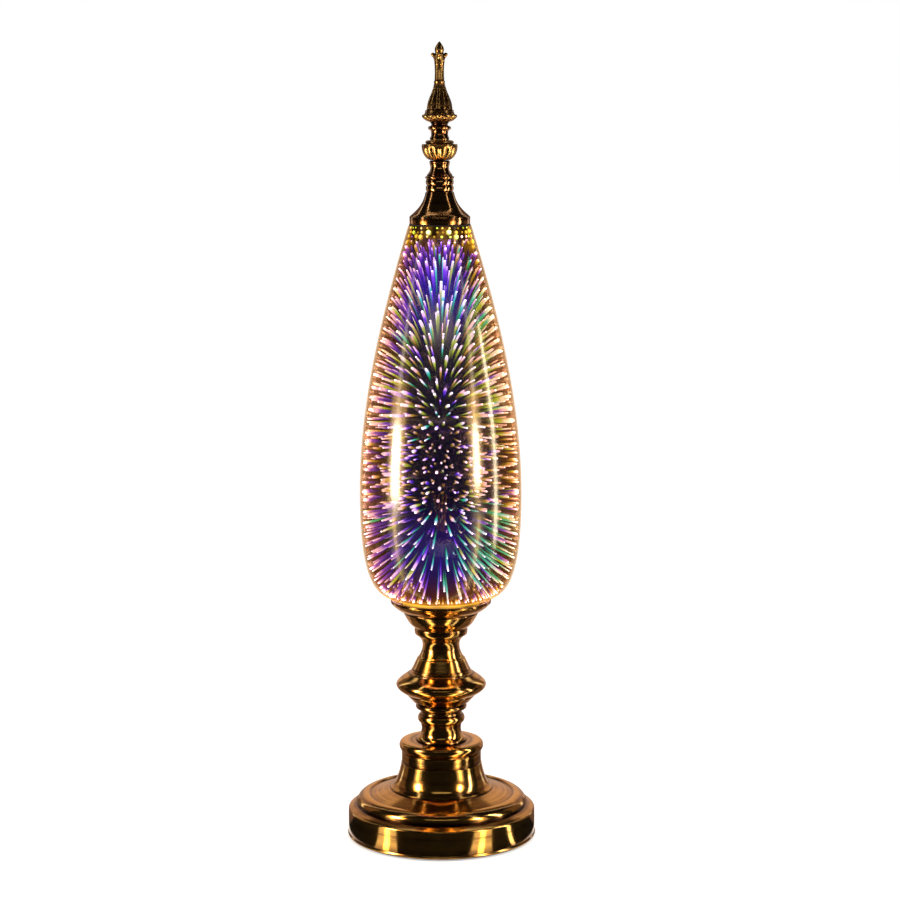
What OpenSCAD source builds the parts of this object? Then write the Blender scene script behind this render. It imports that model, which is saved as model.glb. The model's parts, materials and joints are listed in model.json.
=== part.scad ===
// Table lamp: a mirrored teardrop glass shade on a stem of turned brass pieces.
// Millimetres. +Z is up, the origin is the middle of the resting face, the front is toward -Y.

/* [Base] */
// Outside diameter of the base over its foot bead
base_d = 156; // [150:1:164]
// Height of the upright rim above the table
rim_h = 24; // [23:0.5:28]
// Wall of the spun base shell
shell_wall = 2; // [1.6:0.1:2.4]
// Gap between the rim and the table
rim_gap = 1; // [0.6:0.1:1.4]
// Radius of the rolled foot bead
foot_bead_r = 1.3; // [1:0.1:1.6]
// How far the foot bead stands proud of the rim
foot_proud = 0.8; // [0.4:0.1:1]
// Rounding of the rim's top edge
rim_edge_r = 1.8; // [1:0.1:2.4]
// Rise of the ledge from the rim's edge to the step
ledge_rise = 2.4; // [1.5:0.1:3]
// Width of the ledge between the rim and the step
ledge_w = 7; // [5.8:0.2:8.8]
// Height of the rounded step above the rim
step_h = 11.6; // [11:0.2:13.4]
// Width of the rounded step
step_w = 10; // [8:0.2:12]
// Rise of the dish from the step to the pedestal
dish_rise = 4.2; // [3.4:0.1:5]

/* [Foot and ballast] */
// Thickness of the felt pad
pad_t = 1.5; // [1.4:0.1:2]
// How far the pad stays inside the cover plate
pad_inset = 1; // [0.5:0.1:2]
// Thickness of the cover plate
cover_t = 2; // [1.5:0.1:2.5]
// Gap between the ballast and the terminal block
ballast_gap = 3.2; // [1.5:0.1:6]
// Height of the ballast's disc
ballast_h = 24; // [22:0.5:26]
// Diameter of the ballast's hub
hub_d = 40; // [34:1:48]
// Diameter of the recess for the lower nut
recess_d = 26; // [25:0.5:30]
// Width of the wire channel under the ballast
channel_w = 7; // [6:0.5:9]
// Height of the wire channel
channel_h = 8; // [7:0.5:9]
// Pitch circle of the cover screws
screw_pcd = 60; // [50:1:66]
// Shank diameter of the cover screws
screw_d = 4; // [3:0.5:5]
// Head diameter of the cover screws
screw_head_d = 7.6; // [6.5:0.1:8.5]
// Length of the cover screws
screw_l = 12; // [10:0.5:14]

/* [Pedestal] */
// Diameter of the bell's foot
bell_foot_d = 84; // [80:0.5:88]
// Diameter of the bell under its band
bell_top_d = 66.4; // [64:0.2:68]
// Height of the bell's flare
bell_flare_h = 21.5; // [20:0.5:24]
// Height of the band over the flare
bell_band_h = 9.5; // [8.5:0.5:11]
// Wall of the bell
bell_wall = 2; // [1.6:0.1:2.4]
// How far the collar stands proud of the bell
collar_proud = 1.6; // [1:0.1:2.4]
// Height of the collar
collar_h = 9; // [8.6:0.2:10]
// Wall of the collar
collar_wall = 2.2; // [1.8:0.1:2.4]

/* [Stem] */
// Diameter of the neck spool's foot
neck_foot_d = 42; // [38:0.5:44]
// Smallest diameter of the neck spool
neck_d = 32.6; // [30:0.2:34]
// Diameter of the bead on the neck spool
neck_bead_d = 38.8; // [37:0.2:41]
// Height of the neck spool
neck_h = 26.5; // [26:0.5:30]
// Diameter of the ring under the knop
knop_ring_d = 42; // [40:0.5:44]
// Largest diameter of the knop
knop_d = 74.2; // [72:0.2:78]
// Height of the knop's lower half
knop_low_h = 20.8; // [20:0.2:23]
// Height of the knop's upper half
knop_up_h = 12.7; // [12:0.1:14]
// Wall of the knop's two shells
knop_wall = 2.2; // [1.8:0.1:2.6]
// Diameter at the foot of the waist spool
waist_foot_d = 47.6; // [46:0.2:49]
// Height of the waist spool's conical foot
waist_foot_h = 10; // [9:0.5:12]
// Smallest diameter of the waist
waist_d = 30.4; // [28:0.2:32]
// Diameter of the ring at the top of the waist
waist_ring_d = 43.6; // [42:0.2:45]
// Height of the waist above its foot
waist_h = 24.5; // [23:0.5:28]

/* [Cup and gallery] */
// Diameter at the cup cone's top
cup_top_d = 61.6; // [60:0.2:64]
// Height of the cup cone
cup_h = 13.5; // [12.5:0.5:16]
// Wall of the cup cone
cup_wall = 2; // [1.6:0.1:2.4]
// Diameter of the gallery's rim
gallery_d = 82.6; // [80:0.2:86]
// Height of the gallery
gallery_h = 10.3; // [10:0.1:10.8]
// Floor and wall of the gallery
gallery_wall = 2; // [1.6:0.1:2.2]

/* [Tie rod] */
// Outside diameter of the hollow tie rod
rod_d = 10; // [9:0.5:11]
// Bore of the tie rod
rod_bore = 6.5; // [5.5:0.5:7]
// Clearance of the pieces round the rod
rod_clear = 0.5; // [0.3:0.1:1]
// Across flats of the rod nuts
nut_af = 15; // [14:0.5:17]
// Height of the rod nuts
nut_h = 5; // [4.5:0.5:5.5]
// Diameter of the rod washers
washer_d = 22; // [19:0.5:24]
// Thickness of the rod washers
washer_t = 1.5; // [1:0.1:2]
// How far the rod stands out of the lower nut
rod_tail = 1; // [0.5:0.1:1.5]

/* [Glass] */
// Largest diameter of the glass
glass_d = 132.2; // [126:0.2:138]
// Height of the glass's widest ring above its neck's foot
glass_belly_z = 91.5; // [84:0.5:98]
// Height of the glass over its whole length
glass_h = 310.5; // [300:0.5:325]
// Outside diameter of the glass's bottom neck
glass_neck_d = 62; // [58:0.5:63]
// Height of the straight bottom neck
glass_neck_h = 2.6; // [2.4:0.1:4]
// Outside diameter of the glass's top edge
glass_top_d = 51; // [48:0.2:54]
// Wall of the glass
glass_wall = 2.5; // [2:0.1:3]
// Thickness of the rubber under the glass
gasket_t = 1.5; // [1.2:0.1:2]

/* [Lampholder and bulb] */
// Outside diameter of the lampholder
holder_d = 28; // [26:0.5:32]
// Gap between the lampholder's rim and the bulb's collar
holder_gap = 0.5; // [0.3:0.1:1]
// Bore of the lampholder's screw shell
screw_bore = 14; // [13.6:0.1:15]
// Wall of the screw shell
screw_wall = 0.6; // [0.5:0.1:0.8]
// Clearance of the bulb's cap in the screw shell
cap_clear = 0.3; // [0.2:0.05:0.5]
// Length of the bulb's screw cap
bulb_cap_h = 17; // [16:0.5:19]
// Rise of the screw thread in one turn
bulb_lead = 2.82; // [2.5:0.01:3]
// Largest diameter of the bulb's envelope
bulb_d = 35; // [30:0.5:38]
// Height of the bulb's envelope
bulb_h = 60; // [50:1:70]
// Height of the bulb's collar
bulb_collar_h = 12; // [10:0.5:15]
// Diameter of the bulb's collar at its top
bulb_collar_d = 24; // [22:0.5:26]
// Wall of the bulb's envelope
bulb_wall = 1; // [0.8:0.1:1.4]
// Length of one LED filament
filament_l = 30; // [24:1:34]
// Diameter of one LED filament
filament_d = 1.8; // [1.4:0.1:2.2]

/* [Cap] */
// Diameter of the cap's rim
cap_d = 49; // [47:0.2:51]
// Height of the cap's rim band
cap_rim_h = 6.6; // [6:0.2:8]
// Height of the whole cap bell
cap_h = 26; // [25:0.5:30]
// Diameter at the top of the cap bell
cap_top_d = 23; // [21:0.2:24]
// Wall of the cap bell
cap_wall = 1.6; // [1.2:0.1:1.8]
// Height of the banded collar on the cap
cap_collar_h = 12.5; // [12:0.1:14]
// Diameter of the collar's bands
cap_band_d = 22.4; // [21:0.2:23]
// Thickness of the cap's gasket
cap_gasket_t = 1; // [0.8:0.1:1.5]
// How deep the plug enters the glass
plug_h = 10; // [8:0.5:12]
// Clearance of the plug in the glass's mouth
plug_clear = 0.6; // [0.4:0.1:1]
// Diameter of the spacer tube inside the cap
spacer_d = 12; // [10:0.5:14]

/* [Finial] */
// Diameter of the threaded stud
stud_d = 6; // [5:0.5:6.5]
// Clearance of the pieces round the stud
stud_clear = 0.4; // [0.3:0.1:0.6]
// Length of the stud inside the finial
stud_grip = 8.4; // [8.2:0.1:9.6]
// Height of the finial's neck
fin_neck_h = 12.5; // [12:0.5:15]
// Smallest diameter of the finial's neck
fin_neck_d = 15; // [14:0.2:16]
// Height of the gadrooned bowl
bowl_h = 13; // [12.5:0.1:14]
// Diameter of the gadrooned bowl
bowl_d = 28.8; // [27:0.2:30]
// Height of the ring on the bowl
bowl_ring_h = 3; // [2.6:0.1:3.6]
// Number of gadroons
gadroons = 14; // [10:1:16]
// Thickness of the loose washer
fin_washer_t = 0.8; // [0.6:0.1:1]
// Height of the finial's spool
spool_h = 13.2; // [12.8:0.1:15]
// Smallest diameter of the spool
spool_d = 13; // [12:0.2:14]
// Diameter of the spool's ring
spool_ring_d = 18.4; // [17:0.2:20]
// Height of the scalloped disc
disc_h = 10; // [9.6:0.1:11]
// Diameter of the scalloped disc
disc_d = 28.2; // [26:0.2:30]
// Number of scallops
scallops = 12; // [8:1:14]
// Diameter of the spire's foot
spire_d = 20.8; // [19.6:0.2:22]
// Height of the fluted part of the spire
spire_h = 22; // [21:0.5:26]
// Number of flutes
flutes = 11; // [8:1:12]
// Diameter of the slim shaft over the flutes
shaft_d = 7.8; // [7:0.2:8.6]
// Height of the slim shaft
shaft_h = 13; // [11:0.5:15]
// Height of the four-armed tip
tip_h = 19; // [18:0.5:21]
// Span of the four arms
tip_span = 13.6; // [12.6:0.2:14.6]

/* [Cord inlet and switch] */
// Height of the gland and the switch above the table
port_z = 12.5; // [12:0.1:13]
// Bore of the gland for a cord
gland_bore = 7; // [6:0.1:7.4]
// Outside diameter of the gland's barrel
gland_d = 10; // [9.6:0.1:10.6]
// Diameter of the gland's flange
flange_d = 15; // [14:0.5:16]
// Thickness of the gland's flange and the switch's bezel
flange_t = 2; // [1.6:0.1:2.4]
// Length of the gland's barrel inside the rim
gland_l = 11; // [10.4:0.2:12]
// Thickness of the gland's and the switch's nuts
port_nut_t = 2.4; // [2:0.1:2.8]
// Across flats of the gland's and the switch's nuts
port_nut_af = 15; // [14.4:0.1:16]
// Clearance of the barrels in the rim
port_clear = 0.4; // [0.2:0.1:0.6]
// Direction of the switch round the base
switch_angle = 55; // [50:1:60]
// Diameter of the switch's barrel
switch_d = 12; // [11.6:0.1:12.6]
// Diameter of the switch's bezel
bezel_d = 15.4; // [15:0.1:17]
// Length of the switch's barrel inside the rim
switch_l = 22; // [21:0.5:23]
// Diameter of the button
button_d = 7.6; // [7:0.1:8.4]
// Clearance of the button in the switch
button_clear = 0.5; // [0.3:0.1:0.7]
// How far the button stands out of its bezel
button_out = 3.6; // [3.2:0.1:4.5]
// Travel of the button
button_travel = 2.5; // [1.5:0.1:2.8]
// Diameter of the inner lead
lead_d = 4; // [3.4:0.1:4.4]
// Radius of the inner lead's bend
lead_bend = 5.5; // [5:0.1:6]
// Diameter of the switch lead
switch_lead_d = 3; // [2.4:0.1:3.4]
// Width of the terminal block
block_w = 18; // [16:0.5:20]
// Depth of the terminal block
block_l = 11; // [10:0.5:11.5]
// Height of the terminal block
block_h = 10; // [9:0.5:11]

/* [Hidden] */
$fn = 96;
rod_hole = rod_d / 2 + rod_clear / 2;
rim_r = base_d / 2 - foot_proud;
rim_in = rim_r - shell_wall;
cover_z = pad_t;
cover_r = rim_in - 0.5;
floor_z = cover_z + cover_t;
step_r = rim_r - ledge_w;
dish_r = step_r - step_w;
pan_z = rim_h + step_h + dish_rise;
ceiling_z = pan_z - shell_wall;
band_z = pan_z + bell_flare_h;
collar_z = band_z + bell_band_h;
neck_z = collar_z + collar_h;
knop_z = neck_z + neck_h;
seam_z = knop_z + knop_low_h;
waist_z = seam_z + knop_up_h;
waist_mid = waist_z + waist_foot_h;
cup_z = waist_mid + waist_h;
gallery_z = cup_z + cup_h;
seat_z = gallery_z + gallery_wall * 2;
gallery_top = gallery_z + gallery_h;
glass_z = seat_z + gasket_t;
glass_top = glass_z + glass_h;
belly_r = glass_d / 2;
neck_r = glass_neck_d / 2;
mouth_r = glass_top_d / 2 - glass_wall;
nut_low_z = floor_z + channel_h + 2;
recess_z = nut_low_z + nut_h + washer_t;
rod_low = nut_low_z - rod_tail;
nut_up_z = seat_z + washer_t;
holder_z = nut_up_z + nut_h;
rod_top = holder_z + 6.5;
deck_z = holder_z + 13.5;
bulb_z = deck_z + 1.5;
bulb_cap_z = bulb_z + 4;
bulb_collar_z = bulb_cap_z + bulb_cap_h;
bulb_glass_z = bulb_collar_z + bulb_collar_h;
holder_top = bulb_collar_z - holder_gap;
cap_z = glass_top + cap_gasket_t;
cap_top = cap_z + cap_h;
fin_z = cap_top + cap_collar_h;
bowl_z = fin_z + fin_neck_h;
washer_z = bowl_z + bowl_h + bowl_ring_h;
spool_z = washer_z + fin_washer_t;
disc_z = spool_z + spool_h;
spire_z = disc_z + disc_h;
shaft_z = spire_z + spire_h;
tip_z = shaft_z + shaft_h;
stud_hole = stud_d / 2 + stud_clear / 2;
stud_nut_h = 4.5;
stud_washer_t = 1;
plug_z = glass_top - plug_h;
stud_low = plug_z - stud_washer_t - stud_nut_h - 1.5;
stud_top = spool_z + stud_grip;
port_r = rim_r + 0.3;
lead_z = rod_low - lead_bend;
block_y = rim_in - gland_l - block_l - 3;
switch_end = rim_r - switch_l;
brass = [0.58, 0.43, 0.2];
steel = [0.62, 0.62, 0.62];
rubber = [0.08, 0.08, 0.08];

function oval(c, rx, rz, a0, a1, n = 10) =
    [for (i = [0:n]) let (a = a0 + (a1 - a0) * i / n) [c[0] + rx * cos(a), c[1] + rz * sin(a)]];

function arc(c, r, a0, a1, n = 8) = oval(c, r, r, a0, a1, n);

function curve(a, b, c, d, n = 12) =
    [for (i = [0:n]) let (t = i / n, u = 1 - t)
        u * u * u * a + 3 * u * u * t * b + 3 * u * t * t * c + t * t * t * d];

// The same line moved to its left, so inward for one that rises
function inward(p, w) =
    [for (i = [0:len(p) - 1])
        let (t = p[min(i + 1, len(p) - 1)] - p[max(i - 1, 0)])
        p[i] + w * [-t[1], t[0]] / norm(t)];

function back(p) = [for (i = [len(p) - 1:-1:0]) p[i]];

function upto(p, z) = [for (q = p) if (q[1] <= z) q];

function above(p, z) = [for (q = p) if (q[1] >= z) q];

module turned(points) {
    rotate_extrude() polygon(points);
}

module tube(h, r, bore) {
    difference() {
        cylinder(h = h, r = r);
        translate([0, 0, -1]) cylinder(h = h + 2, r = bore);
    }
}

module hex_nut(h, af, bore) {
    difference() {
        cylinder(h = h, d = af / cos(30), $fn = 6);
        translate([0, 0, -1]) cylinder(h = h + 2, r = bore);
    }
}

// Places its children at a port of the rim, with +Z pointing out of the base
module at_port(angle, r) {
    rotate([0, 0, angle]) translate([r, 0, port_z]) rotate([0, 90, 0]) children();
}

module base_pad() {
    color([0.05, 0.12, 0.07]) cylinder(h = pad_t, r = cover_r - pad_inset);
}

module screw_row() {
    for (a = [30, 150, 270]) rotate([0, 0, a]) translate([screw_pcd / 2, 0, cover_z]) children();
}

module screw_body(grow) {
    sink = (screw_head_d - screw_d) / 2;
    cylinder(h = sink, r1 = screw_head_d / 2 + grow, r2 = screw_d / 2 + grow);
    cylinder(h = screw_l + grow, r = screw_d / 2 + grow);
}

module base_cover() {
    color(steel) difference() {
        translate([0, 0, cover_z]) cylinder(h = cover_t, r = cover_r);
        screw_row() screw_body(0.1);
    }
}

module cover_screws() {
    color(steel) screw_row() difference() {
        screw_body(0);
        translate([0, 0, -0.5]) cylinder(h = 1.7, d = 2.9, $fn = 6);
    }
}

module ballast() {
    r = block_y - ballast_gap;
    z = floor_z + ballast_h;
    color([0.2, 0.2, 0.21]) difference() {
        turned(concat(
            [[recess_d / 2, floor_z], [r - 1.5, floor_z]],
            arc([r - 1.5, floor_z + 1.5], 1.5, -90, 0),
            arc([r - 3, z - 3], 3, 0, 90),
            [[hub_d / 2, z], [hub_d / 2, ceiling_z], [rod_hole, ceiling_z], [rod_hole, recess_z],
                [recess_d / 2, recess_z]]));
        translate([-channel_w / 2, 0, floor_z - 1]) cube([channel_w, r + 1, channel_h + 1]);
        screw_row() screw_body(0.1);
    }
}

function shell_outside() = concat(
    arc([base_d / 2 - foot_bead_r, rim_gap + foot_bead_r], foot_bead_r, -90, 50),
    [[rim_r, rim_gap + 2 * foot_bead_r + 0.3]],
    arc([rim_r - rim_edge_r, rim_h - rim_edge_r], rim_edge_r, 0, 75),
    [[step_r + 1.2, rim_h + ledge_rise], [step_r - 0.7, rim_h + ledge_rise + 0.3],
        [step_r - 0.5, rim_h + ledge_rise + 1]],
    oval([dish_r, rim_h + ledge_rise + 1.6], step_w, step_h - ledge_rise - 1.6, 0, 90, 14),
    [[dish_r - 1.2, rim_h + step_h - 0.9], [bell_foot_d / 2 + 0.3, pan_z - 0.4],
        [bell_foot_d / 2, pan_z], [rod_hole, pan_z]]);

module base_shell() {
    color(brass) difference() {
        turned(concat(
            shell_outside(),
            [[rod_hole, ceiling_z], [bell_foot_d / 2, ceiling_z],
                [dish_r - 1, rim_h + step_h - shell_wall - 0.9],
                [step_r - step_w / 2, rim_h + ledge_rise + (step_h - ledge_rise) * 0.45],
                [step_r - shell_wall - 1.2, rim_h + ledge_rise],
                [step_r - shell_wall - 1.2, rim_h - 0.2],
                [rim_in - 1, rim_h - shell_wall - 0.4], [rim_in, rim_h - shell_wall - 1.2],
                [rim_in, rim_gap]]));
        at_port(90, rim_in - 3) cylinder(h = 10, d = gland_d + port_clear);
        at_port(switch_angle, rim_in - 3) cylinder(h = 10, d = switch_d + port_clear);
    }
}

module pedestal_bell() {
    foot = bell_foot_d / 2;
    top = bell_top_d / 2;
    flare = curve([foot - 0.4, pan_z + 1.4], [foot - 5, pan_z + 5], [top + 1.8, pan_z + 12],
        [top, band_z]);
    color(brass) turned(concat(
        [[foot, pan_z], [foot + 0.2, pan_z + 0.7]],
        flare,
        [[top - 0.9, band_z + 0.5], [top - 0.9, band_z + 1.4], [top - 0.3, band_z + 1.9],
            [top - 0.3, collar_z - 0.9], [top - 0.9, collar_z - 0.6], [top - 0.9, collar_z],
            [rod_hole, collar_z], [rod_hole, collar_z - bell_wall]],
        arc([top - bell_wall - 3, collar_z - bell_wall - 2], 2, 90, 0),
        back(above(inward(flare, bell_wall), pan_z + 0.6)),
        [[foot - bell_wall - 1, pan_z]]));
}

module pedestal_collar() {
    r = bell_top_d / 2 + collar_proud;
    foot = bell_top_d / 2 - 0.7;
    mid = collar_z + collar_h * 0.55;
    color(brass) turned(concat(
        [[foot, collar_z]],
        oval([r - 3.6, mid], 3.6, mid - collar_z - 0.4, -65, 0),
        oval([r - 3.6, mid], 3.6, neck_z - mid, 0, 90),
        [[rod_hole, neck_z], [rod_hole, neck_z - collar_wall],
            [foot - collar_wall - 2, neck_z - collar_wall], [foot - collar_wall - 1, collar_z]]));
}

module neck_spool() {
    foot = neck_foot_d / 2;
    r = neck_d / 2;
    bead = neck_bead_d / 2;
    bead_z = neck_z + 18.8;
    color(brass) turned(concat(
        [[rod_hole, neck_z], [foot - 0.6, neck_z], [foot, neck_z + 0.7]],
        curve([foot - 0.4, neck_z + 1.6], [r + 1.2, neck_z + 3.2], [r, neck_z + 6],
            [r, neck_z + 11]),
        [[r + 0.5, bead_z - 5]],
        oval([bead - 3.4, bead_z], 3.4, 4, -70, 70, 14),
        curve([r + 0.9, bead_z + 4.4], [r + 0.2, bead_z + 5.4], [r + 0.4, bead_z + 6.4],
            [r + 1.6, knop_z - 0.6], 6),
        [[r + 1.6, knop_z], [rod_hole, knop_z]]));
}

module knop_lower() {
    ring = knop_ring_d / 2;
    r = knop_d / 2;
    cone = [[ring - 0.6, knop_z + 5.2], [ring + 2.2, knop_z + 6.4], [ring + 6.9, knop_z + 11.6],
        [ring + 7.1, knop_z + 11.9], [ring + 7, knop_z + 12.7], [ring + 8.4, knop_z + 13.2]];
    lens = curve([ring + 9, knop_z + 13.4], [r - 4.4, knop_z + 15.2], [r - 0.3, seam_z - 3.4],
        [r, seam_z], 8);
    color(brass) turned(concat(
        [[rod_hole, knop_z], [ring - 2.2, knop_z]],
        arc([ring - 2.2, knop_z + 2.3], 2.3, -60, 60),
        cone,
        lens,
        [[r - knop_wall - 0.4, seam_z]],
        back(upto(inward(lens, knop_wall), seam_z - 0.4)),
        [[ring + 4, knop_z + 12.4], [ring - 0.6, knop_z + 8.2], [ring - 3, knop_z + 2.6],
            [rod_hole, knop_z + 2.6]]));
}

module knop_upper() {
    r = knop_d / 2;
    foot = waist_foot_d / 2;
    lens = curve([r, seam_z], [r - 0.2, seam_z + 3.4], [r - 6.4, seam_z + 6.9],
        [foot + 3.6, waist_z - 3.4], 12);
    color(brass) turned(concat(
        lens,
        [[foot + 2.6, waist_z - 3.5], [foot + 2.3, waist_z - 2.7], [foot + 0.9, waist_z - 2.2],
            [foot + 0.5, waist_z], [rod_hole, waist_z], [rod_hole, waist_z - 2.4],
            [foot - 2, waist_z - 2.4], [foot + 1, waist_z - 3.4 - knop_wall]],
        back(above(inward(lens, knop_wall), seam_z + 0.4)),
        [[r - knop_wall - 0.4, seam_z]]));
}

module waist_spool() {
    foot = waist_foot_d / 2;
    r = waist_d / 2;
    ring = waist_ring_d / 2;
    mid = waist_mid + waist_h * 0.44;
    color(brass) turned(concat(
        [[rod_hole, waist_z], [foot, waist_z], [foot, waist_z + 0.6],
            [foot - 4.1, waist_mid - 0.6], [foot - 5.1, waist_mid - 0.3],
            [foot - 5.1, waist_mid + 0.4], [foot - 5.5, waist_mid + 0.9]],
        curve([foot - 5.9, waist_mid + 1.2], [r + 1, waist_mid + 5], [r, mid - 4], [r, mid], 10),
        curve([r, mid], [r, mid + 2.6], [r + 1.2, cup_z - 8.5], [ring - 2.4, cup_z - 6], 10),
        [[ring - 2.2, cup_z - 5.4]],
        curve([ring - 1.1, cup_z - 5.3], [ring, cup_z - 5.2], [ring, cup_z - 2.8],
            [ring, cup_z - 1], 6),
        [[ring - 0.2, cup_z - 0.5], [ring - 0.2, cup_z], [rod_hole, cup_z]]));
}

module cup_cone() {
    foot = waist_ring_d / 2 + 0.2;
    top = cup_top_d / 2;
    cone = curve([foot, cup_z + 0.8], [foot + 4, cup_z + 3.6], [top - 2.6, gallery_z - 6],
        [top, gallery_z - 0.7], 8);
    color(brass) turned(concat(
        [[rod_hole, cup_z], [foot - 0.5, cup_z]],
        cone,
        [[top, gallery_z], [top - cup_wall, gallery_z]],
        back(above(upto(inward(cone, cup_wall), gallery_z - 0.4), cup_z + cup_wall + 0.6)),
        [[rod_hole, cup_z + cup_wall]]));
}

module shade_gallery() {
    foot = cup_top_d / 2;
    r = gallery_d / 2;
    bowl = curve([foot + 0.8, gallery_z + 0.7], [foot + 4.6, gallery_z + 2.2],
        [r - 2.4, gallery_z + 5.2], [r - 0.4, gallery_z + 7.6], 10);
    color(brass) turned(concat(
        [[rod_hole, gallery_z + gallery_wall], [foot - cup_wall - 0.3, gallery_z + gallery_wall],
            [foot - cup_wall, gallery_z], [foot, gallery_z]],
        bowl,
        [[r, gallery_z + 8.2], [r, gallery_top - 0.5], [r - 0.5, gallery_top],
            [r - gallery_wall, gallery_top]],
        back(above(inward(bowl, gallery_wall), seat_z + 0.4)),
        [[neck_r + 1.6, seat_z], [rod_hole, seat_z]]));
}

module tie_rod() {
    color(steel) translate([0, 0, rod_low]) tube(rod_top - rod_low, rod_d / 2, rod_bore / 2);
}

module rod_nuts() {
    for (z = [nut_low_z, nut_up_z])
        color(steel) translate([0, 0, z]) hex_nut(nut_h, nut_af, rod_d / 2 + 0.05);
}

module rod_washers() {
    for (z = [nut_low_z + nut_h, seat_z])
        color(steel) translate([0, 0, z]) tube(washer_t, washer_d / 2, rod_hole);
}

module holder_body() {
    r = holder_d / 2;
    top = holder_top;
    hole = screw_bore / 2 + screw_wall + 0.1;
    color([0.16, 0.1, 0.07]) turned(concat(
        [[rod_d / 2 + 0.05, holder_z], [r - 4, holder_z]],
        arc([r - 4, holder_z + 4], 4, -90, 0),
        [[r, deck_z - 2], [r - 1, deck_z - 1], [r - 1, deck_z + 1], [r, deck_z + 2]],
        arc([r - 1.5, top - 1.5], 1.5, 0, 90),
        [[hole, top], [hole, deck_z], [lead_d / 2 + 0.3, deck_z], [lead_d / 2 + 0.3, rod_top + 0.2],
            [rod_d / 2 + 0.05, rod_top + 0.2]]));
}

module holder_shell() {
    top = holder_top - 1;
    color([0.8, 0.66, 0.3]) translate([0, 0, bulb_cap_z - 1])
        tube(top - bulb_cap_z + 1, screw_bore / 2 + screw_wall, screw_bore / 2);
}

module holder_contact() {
    color([0.8, 0.66, 0.3]) translate([0, 0, deck_z]) {
        translate([-screw_bore / 2, -2, 0]) cube([screw_bore, 4, 0.6]);
        cylinder(h = 1.4, r1 = 1.8, r2 = 1.2);
    }
}

module inner_lead() {
    r = lead_d / 2;
    color([0.9, 0.88, 0.8]) {
        translate([0, 0, rod_low]) cylinder(h = deck_z - 1 - rod_low, r = r);
        translate([0, lead_bend, rod_low]) rotate([90, 0, -90]) rotate([0, 0, 270])
            rotate_extrude(angle = 90) translate([lead_bend, 0]) circle(r = r);
        translate([0, lead_bend, lead_z]) rotate([-90, 0, 0])
            cylinder(h = block_y - lead_bend, r = r);
    }
}

module terminal_block() {
    color([0.85, 0.84, 0.8]) difference() {
        translate([-block_w / 2, block_y, floor_z]) cube([block_w, block_l, block_h]);
        for (x = [-block_w / 4, block_w / 4]) {
            translate([x, block_y + block_l / 2, floor_z + 5]) cylinder(h = block_h, d = 4.4);
            translate([x, block_y + block_l - 4, floor_z + 4]) rotate([-90, 0, 0])
                cylinder(h = block_l, d = 3.4);
        }
    }
}

module cord_gland() {
    color(rubber) at_port(90, rim_in - gland_l) difference() {
        union() {
            cylinder(h = gland_l + port_r - rim_in + flange_t, d = gland_d);
            translate([0, 0, gland_l + port_r - rim_in]) turned(concat(
                [[0, 0], [flange_d / 2, 0]],
                arc([flange_d / 2 - 1, flange_t - 1], 1, 0, 90),
                [[0, flange_t]]));
        }
        translate([0, 0, -1]) cylinder(h = gland_l + 20, d = gland_bore);
    }
}

module gland_nut() {
    color(rubber) at_port(90, rim_in - port_nut_t - 0.6)
        hex_nut(port_nut_t, port_nut_af, gland_d / 2 + 0.05);
}

module switch_body() {
    span = port_r - switch_end;
    color(rubber) at_port(switch_angle, switch_end) difference() {
        union() {
            cylinder(h = span + flange_t, d = switch_d);
            translate([0, 0, span]) turned(concat(
                [[0, 0], [bezel_d / 2, 0]],
                arc([bezel_d / 2 - 1.2, flange_t - 1.2], 1.2, 0, 90),
                [[0, flange_t]]));
            translate([-3, -4, -2.5]) cube([6, 1, 3]);
            translate([-3, 3, -2.5]) cube([6, 1, 3]);
        }
        translate([0, 0, 10]) cylinder(h = span, d = button_d + button_clear);
    }
}

module switch_nut() {
    color(steel) at_port(switch_angle, rim_in - port_nut_t - 1)
        hex_nut(port_nut_t, port_nut_af, switch_d / 2 + 0.05);
}

module switch_lead() {
    a = [block_w / 2, block_y + block_l / 2, floor_z + block_h / 2];
    tag = [switch_end - 1, 4.2 + switch_lead_d / 2];
    b = [tag[0] * cos(switch_angle) - tag[1] * sin(switch_angle),
        tag[0] * sin(switch_angle) + tag[1] * cos(switch_angle), port_z];
    d = b - a;
    color([0.9, 0.88, 0.8]) translate(a)
        rotate([0, acos(d[2] / norm(d)), atan2(d[1], d[0])])
            translate([0, 0, 1]) cylinder(h = norm(d) - 1, d = switch_lead_d);
}

module switch_button() {
    span = port_r - switch_end + flange_t;
    color([0.06, 0.06, 0.06]) at_port(switch_angle, switch_end)
        translate([0, 0, 10 + button_travel + 0.6]) turned(concat(
            [[0, 0], [button_d / 2, 0]],
            arc([button_d / 2 - 1.2, span + button_out - 11.8 - button_travel - 0.6], 1.2, 0, 90),
            [[0, span + button_out - 10.6 - button_travel]]));
}

module shade_gasket() {
    color(rubber) translate([0, 0, seat_z])
        tube(gasket_t, neck_r + 1, neck_r - glass_wall - 1);
}

function glass_outside() = concat(
    [[neck_r, glass_z]],
    arc([neck_r + 2.5, glass_z + glass_neck_h], 2.5, 180, 110, 6),
    curve([neck_r + 2.5, glass_z + glass_neck_h + 2.5], [belly_r - 14, glass_z + 7.2],
        [belly_r, glass_z + 15], [belly_r, glass_z + glass_belly_z], 24),
    curve([belly_r, glass_z + glass_belly_z], [belly_r, glass_z + glass_belly_z + 75],
        [belly_r - 18, glass_top - 74], [glass_top_d / 2, glass_top], 24));

function glass_inside() = inward(glass_outside(), glass_wall);

module shade_glass() {
    r = glass_top_d / 2;
    color([0.25, 0.2, 0.3, 0.5]) turned(concat(
        glass_outside(),
        [[r - glass_wall, glass_top]],
        back(above(upto(glass_inside(), glass_top - 6), glass_z + 1)),
        [[neck_r - glass_wall, glass_z]]));
}

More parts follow.
